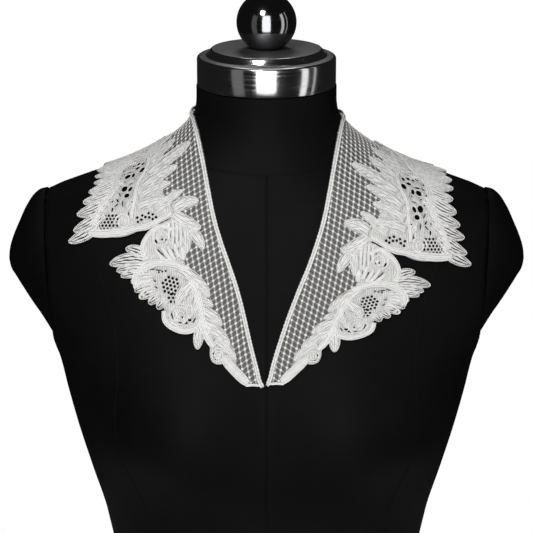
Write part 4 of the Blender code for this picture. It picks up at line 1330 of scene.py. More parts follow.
SHOULDER = SprayDesign(
    name="shoulder_spray",
    ground=rows_of(
        PatternPoint,
        (-124, 123), (-110, 120.5), (-98, 121), (-86, 125.5), (-66, 135), (-60, 142), (-63, 148),
        (-70, 153), (-72, 162), (-73, 176), (-77, 190), (-84, 208), (-94, 236), (-115, 236),
        (-113, 204), (-116, 188), (-115, 168), (-118, 150), (-122, 136),
    ),
    leaves=rows_of(
        Leaf,
        (-108, 221, -138, 219, 13, 2, OPEN), (-106, 208, -140, 206, 13, 2, OPEN),
        (-109, 197, -138, 192.5, 12, 2, OPEN), (-111, 187, -135.5, 180.5, 12, 2, OPEN),
        (-111.5, 177, -131, 168, 11, 2, OPEN), (-111.5, 168, -131.5, 157, 11, 2, OPEN),
        (-110, 158, -133.5, 147.5, 10, 2, OPEN), (-112, 149, -137, 138, 10, 2, OPEN),
        (-115, 139, -139, 126, 10, 2, OPEN), (-118, 129, -143, 117.5, 9, 1, OPEN),
        (-90, 143, -66, 150, 8, 1), (-89.5, 151, -66, 163.5, 8, 1.5), (-89, 160, -63, 178, 9.8, 1.5),
        (-87, 173, -54, 197, 11.5, 1.5), (-89, 188, -71, 206, 11, 1.5), (-96, 203, -77, 219, 9.5, 1),
        (-76, 141, -64, 146, 5.5, 0.5), (-62, 142, -43, 149.5, 9.5, 1.5), (-68, 147, -56, 157, 6, 0.5),
        (-62, 139, -40, 128, 10, -1.5),
    ),
    stems=(
        rows_of(
            Stem,
            (-127, 123.5, 4), (-118, 123, 6), (-108, 123.5, 6.5), (-98, 124.5, 6), (-89, 126.8, 5),
            (-80, 128.6, 5), (-72, 133, 4), (-62, 139, 5),
        ),
        rows_of(
            Stem,
            (-108, 236, 5), (-109, 218, 5), (-109, 202, 4.5), (-112.5, 189, 4.6), (-113.4, 174, 4.4),
            (-110.6, 163, 4.2), (-113.5, 152, 4), (-119, 142, 3.6), (-124, 129, 4),
        ),
        rows_of(
            Stem,
            (-92.6, 134, 2.2), (-92.4, 142, 2.4), (-92, 152, 2.4), (-92.4, 163, 2.2), (-89.8, 175, 2.4),
            (-90, 187, 2.4), (-95, 200, 2.6), (-100, 236, 2.6),
        ),
    ),
    scrolls=rows_of(
        Scroll,
        (-99.4, 131.8, 6.6, 1.6, 200, -620, 1.5), (-95.8, 143.8, 3.2, 1.3, -60, 420, 1.3),
        (-107.6, 166.2, 3.0, 1.2, 90, 460, 1.1),
    ),
    holes=rows_of(
        Hole,
        (-102.6, 158.8, 4.6, 6.0, 10), (-97.7, 158.4, 3.0, 5.0, -15), (-99.2, 152.5, 4.2, 4.0, 20),
        (-106.4, 161.6, 1.6, 1.4, 0), (-104.0, 172.4, 4.6, 5.6, 0), (-99.4, 173.4, 2.8, 5.4, 15),
        (-104.2, 177.5, 4.8, 2.2, 0), (-108.6, 176.2, 1.9, 4.0, -40), (-109.6, 169.4, 1.7, 4.4, 0),
        (-110.6, 181.4, 1.6, 4.2, 10), (-97.4, 169.2, 1.4, 1.8, 0), (-93.4, 178.6, 4.0, 6.4, -10),
        (-98.4, 181.8, 3.8, 4.0, 0), (-95.2, 186.6, 3.0, 4.4, 0), (-99.6, 187.6, 3.2, 4.0, 20),
        (-103.4, 186.0, 2.8, 3.2, 0), (-107.0, 187.6, 3.6, 3.4, 20), (-101.4, 192.0, 2.2, 2.6, 0),
        (-93.6, 191.6, 1.6, 2.8, 0), (-105.6, 148.0, 1.2, 4.2, 35), (-106.0, 144.6, 1.2, 4.4, -40),
        (-108.8, 141.0, 1.5, 3.6, 0), (-109.8, 147.4, 1.1, 2.0, 0), (-120.0, 137.6, 1.6, 3.4, -20),
        (-117.4, 133.6, 3.6, 1.7, -30), (-119.2, 126.4, 1.2, 2.6, 10), (-93.8, 146.9, 2.2, 1.5, 0),
        (-95.6, 137.4, 0.9, 5.4, -8), (-88.4, 149.6, 1.8, 1.2, 0),
    ),
    slits=rows_of(
        Hole,
        (-80.5, 150.4, 7.0, 0.9, 28), (-80.5, 160.0, 7.0, 1.0, 37), (-81.0, 171.4, 8.0, 1.0, 42),
        (-82.6, 185.4, 8.0, 1.0, 45), (-105.2, 153.6, 0.9, 4.4, 30), (-101.6, 145.8, 0.9, 5.0, 6),
        (-98.6, 164.6, 4.0, 0.9, 20), (-104.4, 166.6, 0.8, 3.0, 60), (-91.2, 124.8, 3.0, 0.8, 10),
    ),
    fillings=(Filling(-111, 131.4, 8, 7.4, 0, 2.9, 2.2),),
    pricks=rows_of(
        PatternPoint,
        (-87.8, 131.8), (-85.4, 133.6), (-84.8, 136.6), (-82.3, 135.6), (-80.2, 138.4), (-79.4, 135.4),
        (-76.9, 137.6), (-74.2, 135.6), (-76.6, 134.2), (-74.6, 132.4), (-77.2, 131.2), (-88.6, 135.0),
    ),
)

FRONT = SprayDesign(
    name="front_spray",
    ground=rows_of(
        PatternPoint,
        (-57, 135), (-66, 133), (-78, 124), (-82, 112), (-84, 102), (-88, 92), (-82, 82), (-68, 72),
        (-62, 60), (-52, 52.5), (-42, 54), (-35, 49), (-29.9, 42.3), (-29.5, 35), (-27.3, 30),
        (-22.4, 28.2), (-17.4, 29.5), (-11, 21.8), (-4, 14.6), (-1, 16.5), (-8, 27), (-17, 41),
        (-28, 57), (-34.5, 68), (-35, 80), (-43, 90), (-50, 99), (-53, 110), (-53, 124),
    ),
    leaves=rows_of(
        Leaf,
        (-80, 107, -96, 112.5, 8, -1, OPEN), (-78, 103, -108.5, 101, 10, -2, OPEN),
        (-80, 98.5, -103, 96, 8, -1, OPEN), (-82, 95, -99.5, 92, 7, -1, OPEN),
        (-75, 91.5, -91.5, 87.5, 9, -1.5, OPEN), (-74, 86.5, -88.5, 81, 8.5, -1.5, OPEN),
        (-72, 81.5, -84, 76, 8, -1.5, OPEN), (-69, 77.5, -77.5, 72, 7, -1, OPEN),
        (-64, 75, -71, 68.5, 7, -1, OPEN), (-62, 102, -74, 112, 3.4, 1, THIN),
        (-60, 103, -69.5, 115.5, 3.4, 0.8, THIN), (-58, 104, -64.5, 115.5, 3.6, 0.6, THIN),
        (-55.5, 106, -59.4, 117, 3.8, 0.4, THIN), (-52.5, 104, -53.4, 114.5, 5.4, 0, THIN),
        (-64.4, 133, -63.4, 119, 2.4, 0.4, THIN), (-61.6, 135, -60.2, 114, 2.3, 0.5, THIN),
        (-58.9, 136, -57.1, 112, 2.3, 0.5, THIN), (-56.2, 136, -54.2, 113, 2.2, 0.4, THIN),
        (-51, 130, -50, 109.5, 7, 0.3), (-48, 128, -37.5, 112.5, 7.5, 0.8),
        (-56, 98.5, -32, 77.5, 9.5, 1.6), (-44, 88, -56.5, 71.5, 9.5, -1.6),
        (-40, 83, -47, 61.5, 6.4, 1.2), (-39, 75, -29, 71, 5, 0.5), (-39, 69, -21.5, 57, 8, 1),
        (-37, 60, -15, 43, 9, 1), (-26, 47, -10, 32, 7.5, 1), (-38, 57, -39, 39.5, 7.5, 0),
    ),
    stems=(
        rows_of(
            Stem,
            (-61, 126.4, 3.0), (-70, 129, 3.8), (-79, 122, 4.4), (-83, 113, 4.6), (-80, 104, 5),
        ),
        rows_of(
            Stem,
            (-48, 97, 5), (-58, 101, 5.6), (-70, 102.5, 6), (-81, 99, 6.4), (-88, 91, 6), (-87, 83, 5),
        ),
        rows_of(
            Stem,
            (-66, 67, 3.4), (-64, 59.5, 5), (-57, 54.5, 5.4), (-48, 52.5, 5.2), (-40, 56, 5.2),
            (-37, 64, 5), (-40, 75, 5), (-46, 90, 4.6),
        ),
        rows_of(
            Stem,
            (-37, 62, 5.4), (-33.6, 52, 6), (-29.4, 44.5, 5.4), (-26.4, 41.2, 3),
        ),
        rows_of(
            Stem,
            (-20, 34.5, 4), (-16.6, 30.4, 7), (-11.5, 25, 7.6), (-5, 18.5, 7.4), (-0.6, 14.4, 5),
        ),
        rows_of(
            Stem,
            (-2.6, 13.4, 2.2), (3.5, 13.6, 1.9), (9.4, 13.2, 1.8),
        ),
    ),
    scrolls=rows_of(
        Scroll,
        (-69, 120.5, 7.4, 1.6, 100, 700, 1.5), (-53.6, 63.8, 8.6, 1.4, 40, 960, 1.35),
        (-23.3, 35.0, 5.5, 1.3, 60, 720, 1.3), (-83.2, 77, 2.6, 1.2, 0, 500, 1.1),
    ),
    holes=rows_of(
        Hole,
        (-81.4, 96.2, 1.5, 4.8, 25), (-77.4, 93.6, 3.4, 1.4, 0), (-75.4, 97.2, 4.4, 0.9, 12),
        (-73.2, 117.6, 1.8, 3.6, 25), (-68.6, 119.4, 1.5, 1.6, 0), (-66.2, 119.2, 2.2, 1.5, 0),
        (-46.0, 60.6, 2.8, 2.4, 20), (-48.8, 58.4, 3.4, 2.0, 0), (-47.4, 53.0, 3.0, 1.2, 35),
        (-56.8, 60.6, 1.0, 2.6, 40), (-50.4, 64.6, 1.2, 2.6, -15), (-36.8, 54.6, 1.1, 3.4, -15),
        (-28.2, 41.3, 1.6, 1.7, 0), (-26.7, 36.3, 1.2, 2.0, 0), (-25.2, 31.9, 2.0, 1.0, -25),
    ),
    slits=rows_of(
        Hole,
        (-53.0, 120.0, 1.5, 9.4, 4), (-56.6, 122.5, 1.3, 9.6, 5), (-59.7, 121.0, 1.3, 10.4, 5),
        (-62.6, 124.5, 1.2, 7.6, 4), (-66.0, 127.0, 1.0, 4.0, -20), (-70.6, 110.6, 0.9, 4.4, 46),
        (-67.6, 107.6, 1.2, 6.0, 40), (-63.6, 108.4, 1.4, 7.0, 33), (-59.6, 109.6, 1.3, 6.6, 24),
        (-55.8, 110.6, 1.2, 6.6, 12), (-59.4, 63.2, 1.2, 5.6, 24), (-58.0, 58.4, 1.0, 3.6, 56),
        (-53.2, 58.5, 1.0, 3.0, 66), (-51.6, 62.4, 1.0, 2.2, 60), (-45.0, 65.4, 1.1, 4.8, -24),
        (-42.6, 60.4, 1.0, 4.4, -30), (-26.2, 34.2, 0.9, 3.0, 12), (-23.6, 31.0, 0.9, 2.6, 66),
        (-20.0, 31.8, 0.9, 2.4, -50), (-27.0, 45.6, 1.0, 2.6, -30), (-74.4, 88.8, 1.0, 4.4, 70),
        (-73.0, 84.0, 1.0, 4.0, 64), (-80.6, 100.8, 1.0, 4.4, 88), (-71.0, 96.6, 0.9, 5.0, 84),
        (-52.6, 95.0, 0.9, 3.6, 60),
    ),
    fillings=rows_of(
        Filling,
        (-61.5, 85.5, 8.6, 5.8, -15, 3.1, 2.3), (-59.4, 76.4, 4.6, 5.0, 0, 3.1, 2.2),
        (-68, 95.6, 4.6, 1.8, 10, 2.6, 1.6),
    ),
)


NECK_EDGE = rows_of(
    PatternPoint,
    (-39.5, 302.5), (-51.5, 288.5), (-59.0, 270.5), (-60.5, 250), (-56, 232), (-50, 218), (-46, 204),
    (-42, 188), (-37.5, 168.5), (-33, 151), (-27.5, 131), (-20, 109.5), (-11, 86), (-4.5, 66.5),
    (1.5, 46), (7, 27), (9.4, 17.5), (11.7, 12.6),
)
NET_OUTER_EDGE = rows_of(
    PatternPoint,
    (-2, 12.5), (-12, 26), (-24, 42), (-34, 58), (-41, 71), (-48, 82), (-57.5, 92), (-63, 105),
    (-65, 120), (-71, 133), (-80, 145), (-87.5, 157), (-88, 172), (-88, 187), (-94, 205),
)


@dataclass
class BackRule:
    """Sets out the back of the border by rule along the collar's middle line."""

    lobes: int = 9
    lobe_last: float = 124.0
    lobe_root: float = 26.0
    lobe_tip: float = 58.0
    lobe_lean: float = 7.0
    lobe_width: float = 15.0
    leaf_root: float = 24.0
    leaf_tip: float = 3.0
    leaf_width: float = 8.5
    ground_in: float = 17.0
    ground_out: float = 37.0
    ground_last: float = 132.0
    band_aside: float = 27.0
    band_width: float = 5.5
    hole_asides: tuple[float, float] = (20.5, 33.0)
    hole_size: tuple[float, float] = (4.4, 3.6)

    def design(self) -> SprayDesign:
        """The back spray of one half, from the centre back to the shoulder.

        Returns:
            Its design.
        """
        leaves = []
        for k, along in enumerate(np.linspace(0, self.lobe_last, self.lobes)):
            lean = self.lobe_lean if k else 0.0
            root = DRAPE.on_paper(along, self.lobe_root)
            tip = DRAPE.on_paper(along - lean, self.lobe_tip)
            leaves.append(Leaf(*root, *tip, self.lobe_width, -2.0 if k else 0.0, OPEN))
            root = DRAPE.on_paper(along, self.leaf_root)
            tip = DRAPE.on_paper(along + lean, self.leaf_tip)
            leaves.append(Leaf(*root, *tip, self.leaf_width, 1.5 if k else 0.0))
        reach = np.linspace(-3, self.ground_last, 16)
        ground = [PatternPoint(*DRAPE.on_paper(a, self.ground_out)) for a in reach]
        ground += [PatternPoint(*DRAPE.on_paper(a, self.ground_in)) for a in reach[::-1]]
        band = tuple(Stem(*DRAPE.on_paper(a, self.band_aside), self.band_width) for a in reach)
        pitch = self.lobe_last / (self.lobes - 1)
        holes = []
        for k in range(self.lobes):
            for aside in self.hole_asides:
                place = DRAPE.on_paper((k + 0.5) * pitch, aside)
                holes.append(Hole(*place, *self.hole_size, 0))
        return SprayDesign("back_spray", tuple(ground), tuple(leaves), (band,), (), tuple(holes))


@dataclass
class Net:
    """The net ground: fine tulle, a lattice of knots and bars, and the corded tape on its neck edge."""

    back_width: float = 34.0
    seam: float = 0.15
    spacing: float = 4.0
    along_cell: tuple[float, float] = (0.8, -4.2)
    across_cell: tuple[float, float] = (3.8, 2.4)
    back_last: float = 124.0
    knot: float = 1.2
    knot_waist: float = 0.7
    knot_rises: tuple[float, float] = (0.45, 0.6)
    down_bar: tuple[float, float] = (0.74, 0.48)
    cross_bar: tuple[float, float] = (0.66, 0.32)
    bar_rise: float = 0.22
    edge_clear: float = 1.4
    tape_width: float = 3.4
    tape_swell: float = 0.07
    tape_ripple: float = 0.1
    tape_rise: float = 0.85

    def neck_line(self, step: float) -> np.ndarray:
        """The neck edge from the centre back to the V.

        Args:
            step: The way between points.

        Returns:
            The edge's points.
        """
        guide = [tuple(place) for place in NECK_EDGE]
        aside = float(DRAPE.measure(np.array(guide[:1], float))[1][0])
        guide[0] = tuple(DRAPE.on_paper(self.seam, aside))
        return smooth_line(guide, step)

    def outline(self) -> np.ndarray:
        """The net's whole outline.

        Returns:
            Its points.
        """
        reach = np.linspace(self.back_last, self.seam, 24)
        back = [DRAPE.on_paper(along, self.back_width) for along in reach]
        outer = smooth_line([tuple(place) for place in NET_OUTER_EDGE], 3.0)
        return np.vstack([self.neck_line(3.0), outer, np.array(back)])

    def cut(self) -> FlatCut:
        """The net as it is cut."""
        return FlatCut(self.outline(), spacing=self.spacing)

    def tulle(self, side: Side) -> bpy.types.Object:
        """The fine tulle of one half.

        Args:
            side: Which half.

        Returns:
            The new object.
        """
        cloth = LaceCloth()
        self.cut().sheet(cloth, Layer.TULLE.value)
        return cloth.build(f"net_tulle_{side.word}", side, slips=False)

    def threads(self, side: Side) -> bpy.types.Object:
        """The lattice of one half: knots, and the bars between them.

        Args:
            side: Which half.

        Returns:
            The new object.
        """
        outline = self.outline()
        a, b = np.array(self.along_cell), np.array(self.across_cell)
        low, high = outline.min(0), outline.max(0)
        turn = np.linalg.inv(np.stack([a, b], -1))
        corners = np.array([turn @ np.array([x, y]) for x in (low[0], high[0]) for y in (low[1], high[1])])
        first, last = np.floor(corners.min(0)).astype(int), np.ceil(corners.max(0)).astype(int)
        counts = [np.arange(low, high + 1) for low, high in zip(first, last)]
        i, j = np.meshgrid(*counts, indexing="ij")
        knots = (i[..., None] * a + j[..., None] * b).reshape(-1, 2)
        within = FlatCut.inside(knots, outline) & self.clear_of_edge(knots)
        cloth = LaceCloth()
        for place in knots[within]:
            self.add_knot(cloth, place)
        for step, widths in ((a, self.down_bar), (b, self.cross_bar)):
            ends = knots + step
            both = within & FlatCut.inside(ends, outline)
            for start, end in zip(knots[both], ends[both]):
                self.add_bar(cloth, start, end, widths)
        return cloth.build(f"net_threads_{side.word}", side, slips=False)

    def add_knot(self, cloth: LaceCloth, place: np.ndarray) -> None:
        """Adds a round knot.

        Args:
            cloth: Where the knot goes.
            place: Its centre.
        """
        foot = oval(*place, self.knot, self.knot, 0, 6)
        narrow = self.knot * self.knot_waist
        waist = oval(*place, narrow, narrow, 0, 6)
        points = np.vstack([foot, waist, [place]])
        low, (middle, top) = Layer.NET.value, self.knot_rises
        heights = np.array([low] * 6 + [low + middle] * 6 + [low + top])
        faces = [(k, (k + 1) % 6, (k + 1) % 6 + 6, k + 6) for k in range(6)]
        faces += [(k + 6, (k + 1) % 6 + 6, 12) for k in range(6)]
        faces.append((5, 4, 3, 2, 1, 0))
        cloth.add(points, heights, faces, tones=1.0)

    def clear_of_edge(self, knots: np.ndarray) -> np.ndarray:
        """Which knots lie far enough in from the neck edge."""
        edge = self.neck_line(1.5)
        return np.array([((edge - knot) ** 2).sum(1).min() for knot in knots]) > self.edge_clear**2

    def add_bar(
        self, cloth: LaceCloth, start: np.ndarray, end: np.ndarray, widths: tuple[float, float]
    ) -> None:
        """Adds a bar between two knots.

        Args:
            cloth: Where the bar goes.
            start: One knot.
            end: The other knot.
            widths: Half its width at the ends and in the middle.
        """
        line = np.stack([start, (start + end) / 2, end])
        half = np.array([widths[0], widths[1], widths[0]])
        strip(cloth, line, half, BEAD, Layer.NET.value, Layer.NET.value + 0.1, self.bar_rise, tone=0.3)

    def tape_line(self) -> np.ndarray:
        """The middle of the tape.

        Returns:
            The line's points.
        """
        edge = self.neck_line(0.7)
        ahead = unit(np.gradient(edge, axis=0))
        return edge + np.stack([ahead[:, 1], -ahead[:, 0]], -1) * self.tape_width / 2

    def tape(self, side: Side) -> bpy.types.Object:
        """The corded tape of one half.

        Args:
            side: Which half.

        Returns:
            The new object.
        """
        cloth = LaceCloth()
        line = self.tape_line()
        wave = np.cos(np.arange(len(line)) * math.pi / 2)
        half = self.tape_width / 2 * (1 + self.tape_swell * wave)
        ripple = self.tape_ripple * wave[:, None] * np.array(TAPE.height)[None]
        strip(cloth, line, half, TAPE, Layer.TAPE.value, Layer.TAPE.value + 0.4, self.tape_rise, ripple)
        return cloth.build(f"neck_tape_cord_{side.word}", side, slips=False)


# The dress form


ARM_CAP_SECTIONS = rows_of(
    ArmCapSection,
    (0.3, 328.5, 447), (5, 337, 446), (10, 346, 442.5), (17, 357, 433), (23, 367, 421.5),
    (29, 377.5, 409), (32.5, 384, 399), (33.8, 391, 391),
)

NECK_CAP_PROFILE = rows_of(
    Turned,
    (52.0, 529.5), (52.7, 529.8), (53.0, 530.5), (53.0, 550.0), (52.8, 550.8), (52.4, 551.4),
    (51.8, 551.8), (51.0, 552.0), (46.5, 552.4), (45.4, 552.6), (44.9, 552.9), (44.5, 553.4),
    (43.1, 555.9), (42.6, 556.8), (42.0, 557.4), (41.2, 557.6),
)


Placing = Callable[[np.ndarray, np.ndarray], np.ndarray]


def grid_object(name: str, columns: int, rows: int, place: Placing) -> bpy.types.Object:
    """A primitive grid, wrapped into a form and closed at both ends.

    Args:
        name: The object's name.
        columns: How many faces go round.
        rows: How many faces go from the first edge to the last.
        place: Gives places in millimetres from shares of a turn and of the way up, both from 0 to 1.

    Returns:
        The closed object at the origin.
    """
    bpy.ops.mesh.primitive_grid_add(
        x_subdivisions=columns, y_subdivisions=rows, size=1, location=(0.5, 0.5, 0)
    )
    obj = bpy.context.active_object
    obj.name = name
    bpy.ops.object.transform_apply(location=True, rotation=True, scale=True)
    flat = np.empty(len(obj.data.vertices) * 3)
    obj.data.vertices.foreach_get("co", flat)
    flat = flat.reshape(-1, 3)
    places = place(flat[:, 0], flat[:, 1]) * MM
    obj.data.vertices.foreach_set("co", places.ravel())
    with editing(obj):
        bpy.ops.mesh.remove_doubles(threshold=1e-6)
        bpy.ops.mesh.select_mode(type="EDGE")
        bpy.ops.mesh.select_all(action="DESELECT")
        bpy.ops.mesh.select_non_manifold(
            extend=False, use_wire=False, use_multi_face=False, use_non_contiguous=False
        )
        bpy.ops.mesh.edge_face_add()
        face_outward()
    obj.data.name = name
    return obj


@dataclass
class DressForm:
    """The limbless torso in black jersey, its arm caps and seams, and the metal on its neck."""

    columns: int = 176
    rows: int = 132
    top: float = 529.2
    base_round: float = 4.0
    base_inset: float = 0.985
    base_share: float = 0.02
    cap_centre_y: float = 2.0
    cap_half_depth: float = 51.0
    cap_columns: int = 64
    cap_rows: int = 28
    turned_segments: int = 96
    body_crease: float = 40.0
    cap_crease: float = 60.0
    turned_crease: float = 35.0
    ball_radius: float = 22.8
    ball_foot_radius: float = 11.2
    ball_foot_height: float = 0.4
    ball_waist_radius: float = 12.0
    ball_seat: float = 557.9
    ball_rows: int = 40
    seam_half: float = 0.9
    seam_rise: float = 0.22
    seam_root: float = 0.4
    princess_depth: float = 70.0
    cap_table: SmoothTable = field(default_factory=lambda: SmoothTable(ARM_CAP_SECTIONS))

    def body(self) -> bpy.types.Object:
        """The torso, from its flat underside to the top of its neck.

        Returns:
            The new object.
        """

        def place(across: np.ndarray, up: np.ndarray) -> np.ndarray:
            """Places on the torso, rounded where the underside begins.

            Args:
                across: Shares of a turn.
                up: Shares of the way up.

            Returns:
                The places.
            """
            high = np.clip((up - self.base_share) / (1 - self.base_share), 0, 1)
            heights = self.base_round + high * (self.top - self.base_round)
            points = FORM.ring(heights, across * 2 * math.pi)
            low = np.clip(up / self.base_share, 0, 1)
            inset = self.base_inset + (1 - self.base_inset) * np.sqrt(1 - (1 - low) ** 2)
            points[:, :2] *= inset[:, None]
            points[:, 2] = np.where(up < self.base_share, low * self.base_round, heights)
            return points

        obj = grid_object("torso", self.columns, self.rows, place)
        sharpen(obj, self.body_crease)
        return obj

    def arm_cap(self, side: Side) -> bpy.types.Object:
        """The padded cap over one armhole.

        Args:
            side: Which armhole.

        Returns:
            The new object.
        """
        first = ARM_CAP_SECTIONS[0]

        def place(across: np.ndarray, up: np.ndarray) -> np.ndarray:
            """Places on the cap, which narrows outwards.

            Args:
                across: Shares of a turn.
                up: Shares of the way from the armhole to the cap's end.

            Returns:
                The places.
            """
            out = first.out + (ARM_CAP_SECTIONS[-1].out - first.out) * np.sin(up * math.pi / 2)
            low, high = self.cap_table.read(out)
            share = (high - low) / (first.high - first.low)
            turns = across * 2 * math.pi
            y = self.cap_centre_y + self.cap_half_depth * share * np.cos(turns)
            z = (low + high) / 2 + (high - low) / 2 * np.sin(turns)
            return np.stack([(FORM.arm_plane(z) + out) * side.value, y, z], -1)

        obj = grid_object(f"padded_arm_cap_{side.word}", self.cap_columns, self.cap_rows, place)
        sharpen(obj, self.cap_crease)
        return obj

    def turned(self, name: str, profile: Sequence[Turned]) -> bpy.types.Object:
        """A solid turned about the neck's axis: a filled circle, drawn up and resized corner by corner.

        Args:
            name: The object's name.
            profile: The corners, from the foot to the top.

        Returns:
            The new object.
        """
        first = profile[0]
        bpy.ops.mesh.primitive_circle_add(
            vertices=self.turned_segments,
            radius=first.radius * MM,
            fill_type="NGON",
            location=(0, 0, first.height * MM),
        )
        obj = bpy.context.active_object
        obj.name = name
        obj.data.name = name
        bpy.ops.object.transform_apply(location=True, rotation=True, scale=True)
        with editing(obj):
            bpy.ops.mesh.select_mode(type="FACE")
            bpy.ops.mesh.select_all(action="SELECT")
            for last, here in zip(profile, profile[1:]):
                rise = (0, 0, (here.height - last.height) * MM)
                bpy.ops.mesh.extrude_region_move(TRANSFORM_OT_translate={"value": rise})
                share = here.radius / last.radius
                bpy.ops.transform.resize(value=(share, share, 1), center_override=(0, 0, 0))
            face_outward()
        sharpen(obj, self.turned_crease)
        return obj

    def neck_cap(self) -> bpy.types.Object:
        """The polished cap that closes the neck."""
        return self.turned("polished_neck_cap", NECK_CAP_PROFILE)

    def ball(self) -> bpy.types.Object:
        """The ball finial on its short foot.

        Returns:
            The new object.
        """
        waist = math.sqrt(self.ball_radius**2 - self.ball_waist_radius**2)
        centre = self.ball_seat + self.ball_foot_height + waist
        profile = [Turned(self.ball_foot_radius, self.ball_seat)]
        start = -math.acos(self.ball_waist_radius / self.ball_radius)
        for k in range(self.ball_rows):
            angle = start + (math.pi / 2 - start) * k / self.ball_rows
            out, up = self.ball_radius * math.cos(angle), self.ball_radius * math.sin(angle)
            profile.append(Turned(out, centre + up))
        return self.turned("ball_finial", profile)

    def seam_lines(self) -> dict[str, np.ndarray]:
        """The lines of the jersey's seams on the form, in millimetres.

        Returns:
            Each line by name.
        """
        turns = np.linspace(0, 2 * math.pi, 150)
        dip, rise = np.clip(-np.sin(turns), 0, 1), np.clip(np.sin(turns), 0, 1)
        neck = FORM.ring(480.8 - 6.8 * dip**4 + 3.4 * rise, turns)
        ahead = np.full(200, math.pi / 2)
        front = FORM.ring(np.linspace(6, 473, 200), -ahead)
        back = FORM.ring(np.linspace(6, 482, 200), ahead)
        lines = {"neck": neck, "front": front, "back": back}
        low = [(88, 0, 4), (84, 0, 90), (82, 0, 150), (88, 0, 230)]
        high = [(92, 0, 282), (95, 0, 323), (110, 0, 370), (130, 0, 410)]
        guide = smooth_line(low + high, 3.0)
        for side in Side:
            for word, facing in (("front", -1), ("back", 1)):
                line = guide * [side.value, 1, 1] + [0, facing * self.princess_depth, 0]
                lines[f"princess_{word}_{side.word}"] = line
        return lines

    def seams(self) -> bpy.types.Object:
        """Fine welts with a stitched groove along the seams of the jersey.

        Returns:
            The new object.
        """
        across = np.array([-1, -0.62, -0.2, 0, 0.2, 0.62, 1.0])
        height = np.array([0, 1, 0.8, 0.05, 0.8, 1, 0.0])
        points, faces = [], []
        for name, line in self.seam_lines().items():
            line = FORM.onto(line, 8)
            normals = FORM.normals(line)
            ahead = unit(np.gradient(line, axis=0))
            left = np.cross(normals, ahead)
            grid = line[:, None] + left[:, None] * (across * self.seam_half)[None, :, None]
            grid = FORM.onto(grid.reshape(-1, 3), 2).reshape(grid.shape)
            lift = height * self.seam_rise
            upper = grid + normals[:, None] * lift[None, :, None]
            lower = grid - normals[:, None] * self.seam_root
            start = sum(len(p) for p in points)
            rows, columns = grid.shape[:2]
            points += [upper.reshape(-1, 3), lower.reshape(-1, 3)]
            faces += [tuple(c + start for c in face) for face in shell_faces(rows, columns)]
        obj = mesh_object("jersey_seams", np.vstack(points) * MM, faces)
        with editing(obj):
            face_outward()
        return obj


# Finishes


WAVE_STEP = 2 * math.pi / 20.0
Socket = bpy.types.NodeSocket
Colour = tuple[float, float, float]
Inputs = dict[str | int, object]


def shade(colour: Colour, share: float) -> Colour:
    """The colour, darker below a share of 1 and lighter above it."""
    return tuple(c * share for c in colour)


class Recipe:
    """A material in the making: its shader, and the nodes that lead to it."""

    def __init__(self, name: str) -> None:
        """Starts a new material.

        Args:
            name: The material's name.
        """
        self.material = bpy.data.materials.new(name)
        self.material.use_nodes = True
        self.tree = self.material.node_tree
        self.shader = self.tree.nodes["Principled BSDF"]
        self.coordinates = self.tree.nodes.new("ShaderNodeTexCoord")

    def feed(self, node: bpy.types.Node, inputs: Inputs) -> None:
        """Gives a node its inputs.

        Args:
            node: The node.
            inputs: For each input, its value or the output that is linked to it.
        """
        for key, value in inputs.items():
            if isinstance(value, Socket):
                self.tree.links.new(value, node.inputs[key])
            else:
                node.inputs[key].default_value = value

    def add(self, kind: str, inputs: Inputs | None = None) -> bpy.types.Node:
        """Adds a node.

        Args:
            kind: The sort of shader node.
            inputs: Its inputs, as feed takes them.

        Returns:
            The new node.
        """
        node = self.tree.nodes.new(f"ShaderNode{kind}")
        self.feed(node, inputs or {})
        return node

    def noise(self, scale: float, detail: float, where: Socket | None = None) -> Socket:
        """Adds cloudy noise."""
        where = self.coordinates.outputs["Object"] if where is None else where
        return self.add("TexNoise", {"Vector": where, "Scale": scale, "Detail": detail}).outputs["Fac"]

    def bands(self, direction: str, inputs: Inputs) -> Socket:
        """Adds straight bands.

        Args:
            direction: The axis that they cross.
            inputs: Their scale and unevenness, and the coordinates if these aren't places on the object.

        Returns:
            The bands, from 0 to 1.
        """
        node = self.add("TexWave", {"Vector": self.coordinates.outputs["Object"]} | inputs)
        node.wave_type = "BANDS"
        node.bands_direction = direction
        return node.outputs["Fac"]

    def blend(self, value: Socket, low: tuple[float, Colour], high: tuple[float, Colour]) -> Socket:
        """Turns a value into a colour between two others.

        Args:
            value: What the colour follows.
            low: The value up to which the first colour holds, and that colour.
            high: The value from which the second colour holds, and that colour.

        Returns:
            The colour.
        """
        node = self.add("ValToRGB", {"Fac": value})
        for element, (position, colour) in zip(node.color_ramp.elements, (low, high)):
            element.position = position
            element.color = (*colour, 1)
        return node.outputs["Color"]

    def span(self, value: Socket, taken: tuple[float, float], given: tuple[float, float]) -> Socket:
        """Maps one span of values onto another."""
        spans = {"From Min": taken[0], "From Max": taken[1], "To Min": given[0], "To Max": given[1]}
        return self.add("MapRange", {"Value": value} | spans).outputs["Result"]

    def total(self, parts: Sequence[tuple[Socket, float]], start: Socket | float = 0.0) -> Socket:
        """Adds up values by their shares.

        Args:
            parts: Each value with its share.
            start: What they are added to.

        Returns:
            The sum.
        """
        for value, share in parts:
            step = self.add("Math")
            step.operation = "MULTIPLY_ADD"
            self.feed(step, {0: value, 1: share, 2: start})
            start = step.outputs["Value"]
        return start

    def relief(self, height: Socket, strength: float, distance: float) -> None:
        """Raises the surface."""
        bump = self.add("Bump", {"Height": height, "Strength": strength, "Distance": distance})
        self.feed(self.shader, {"Normal": bump.outputs["Normal"]})

    def finish(self, inputs: Inputs) -> bpy.types.Material:
        """Gives the shader its own inputs, and gives back the material."""
        self.feed(self.shader, inputs)
        return self.material


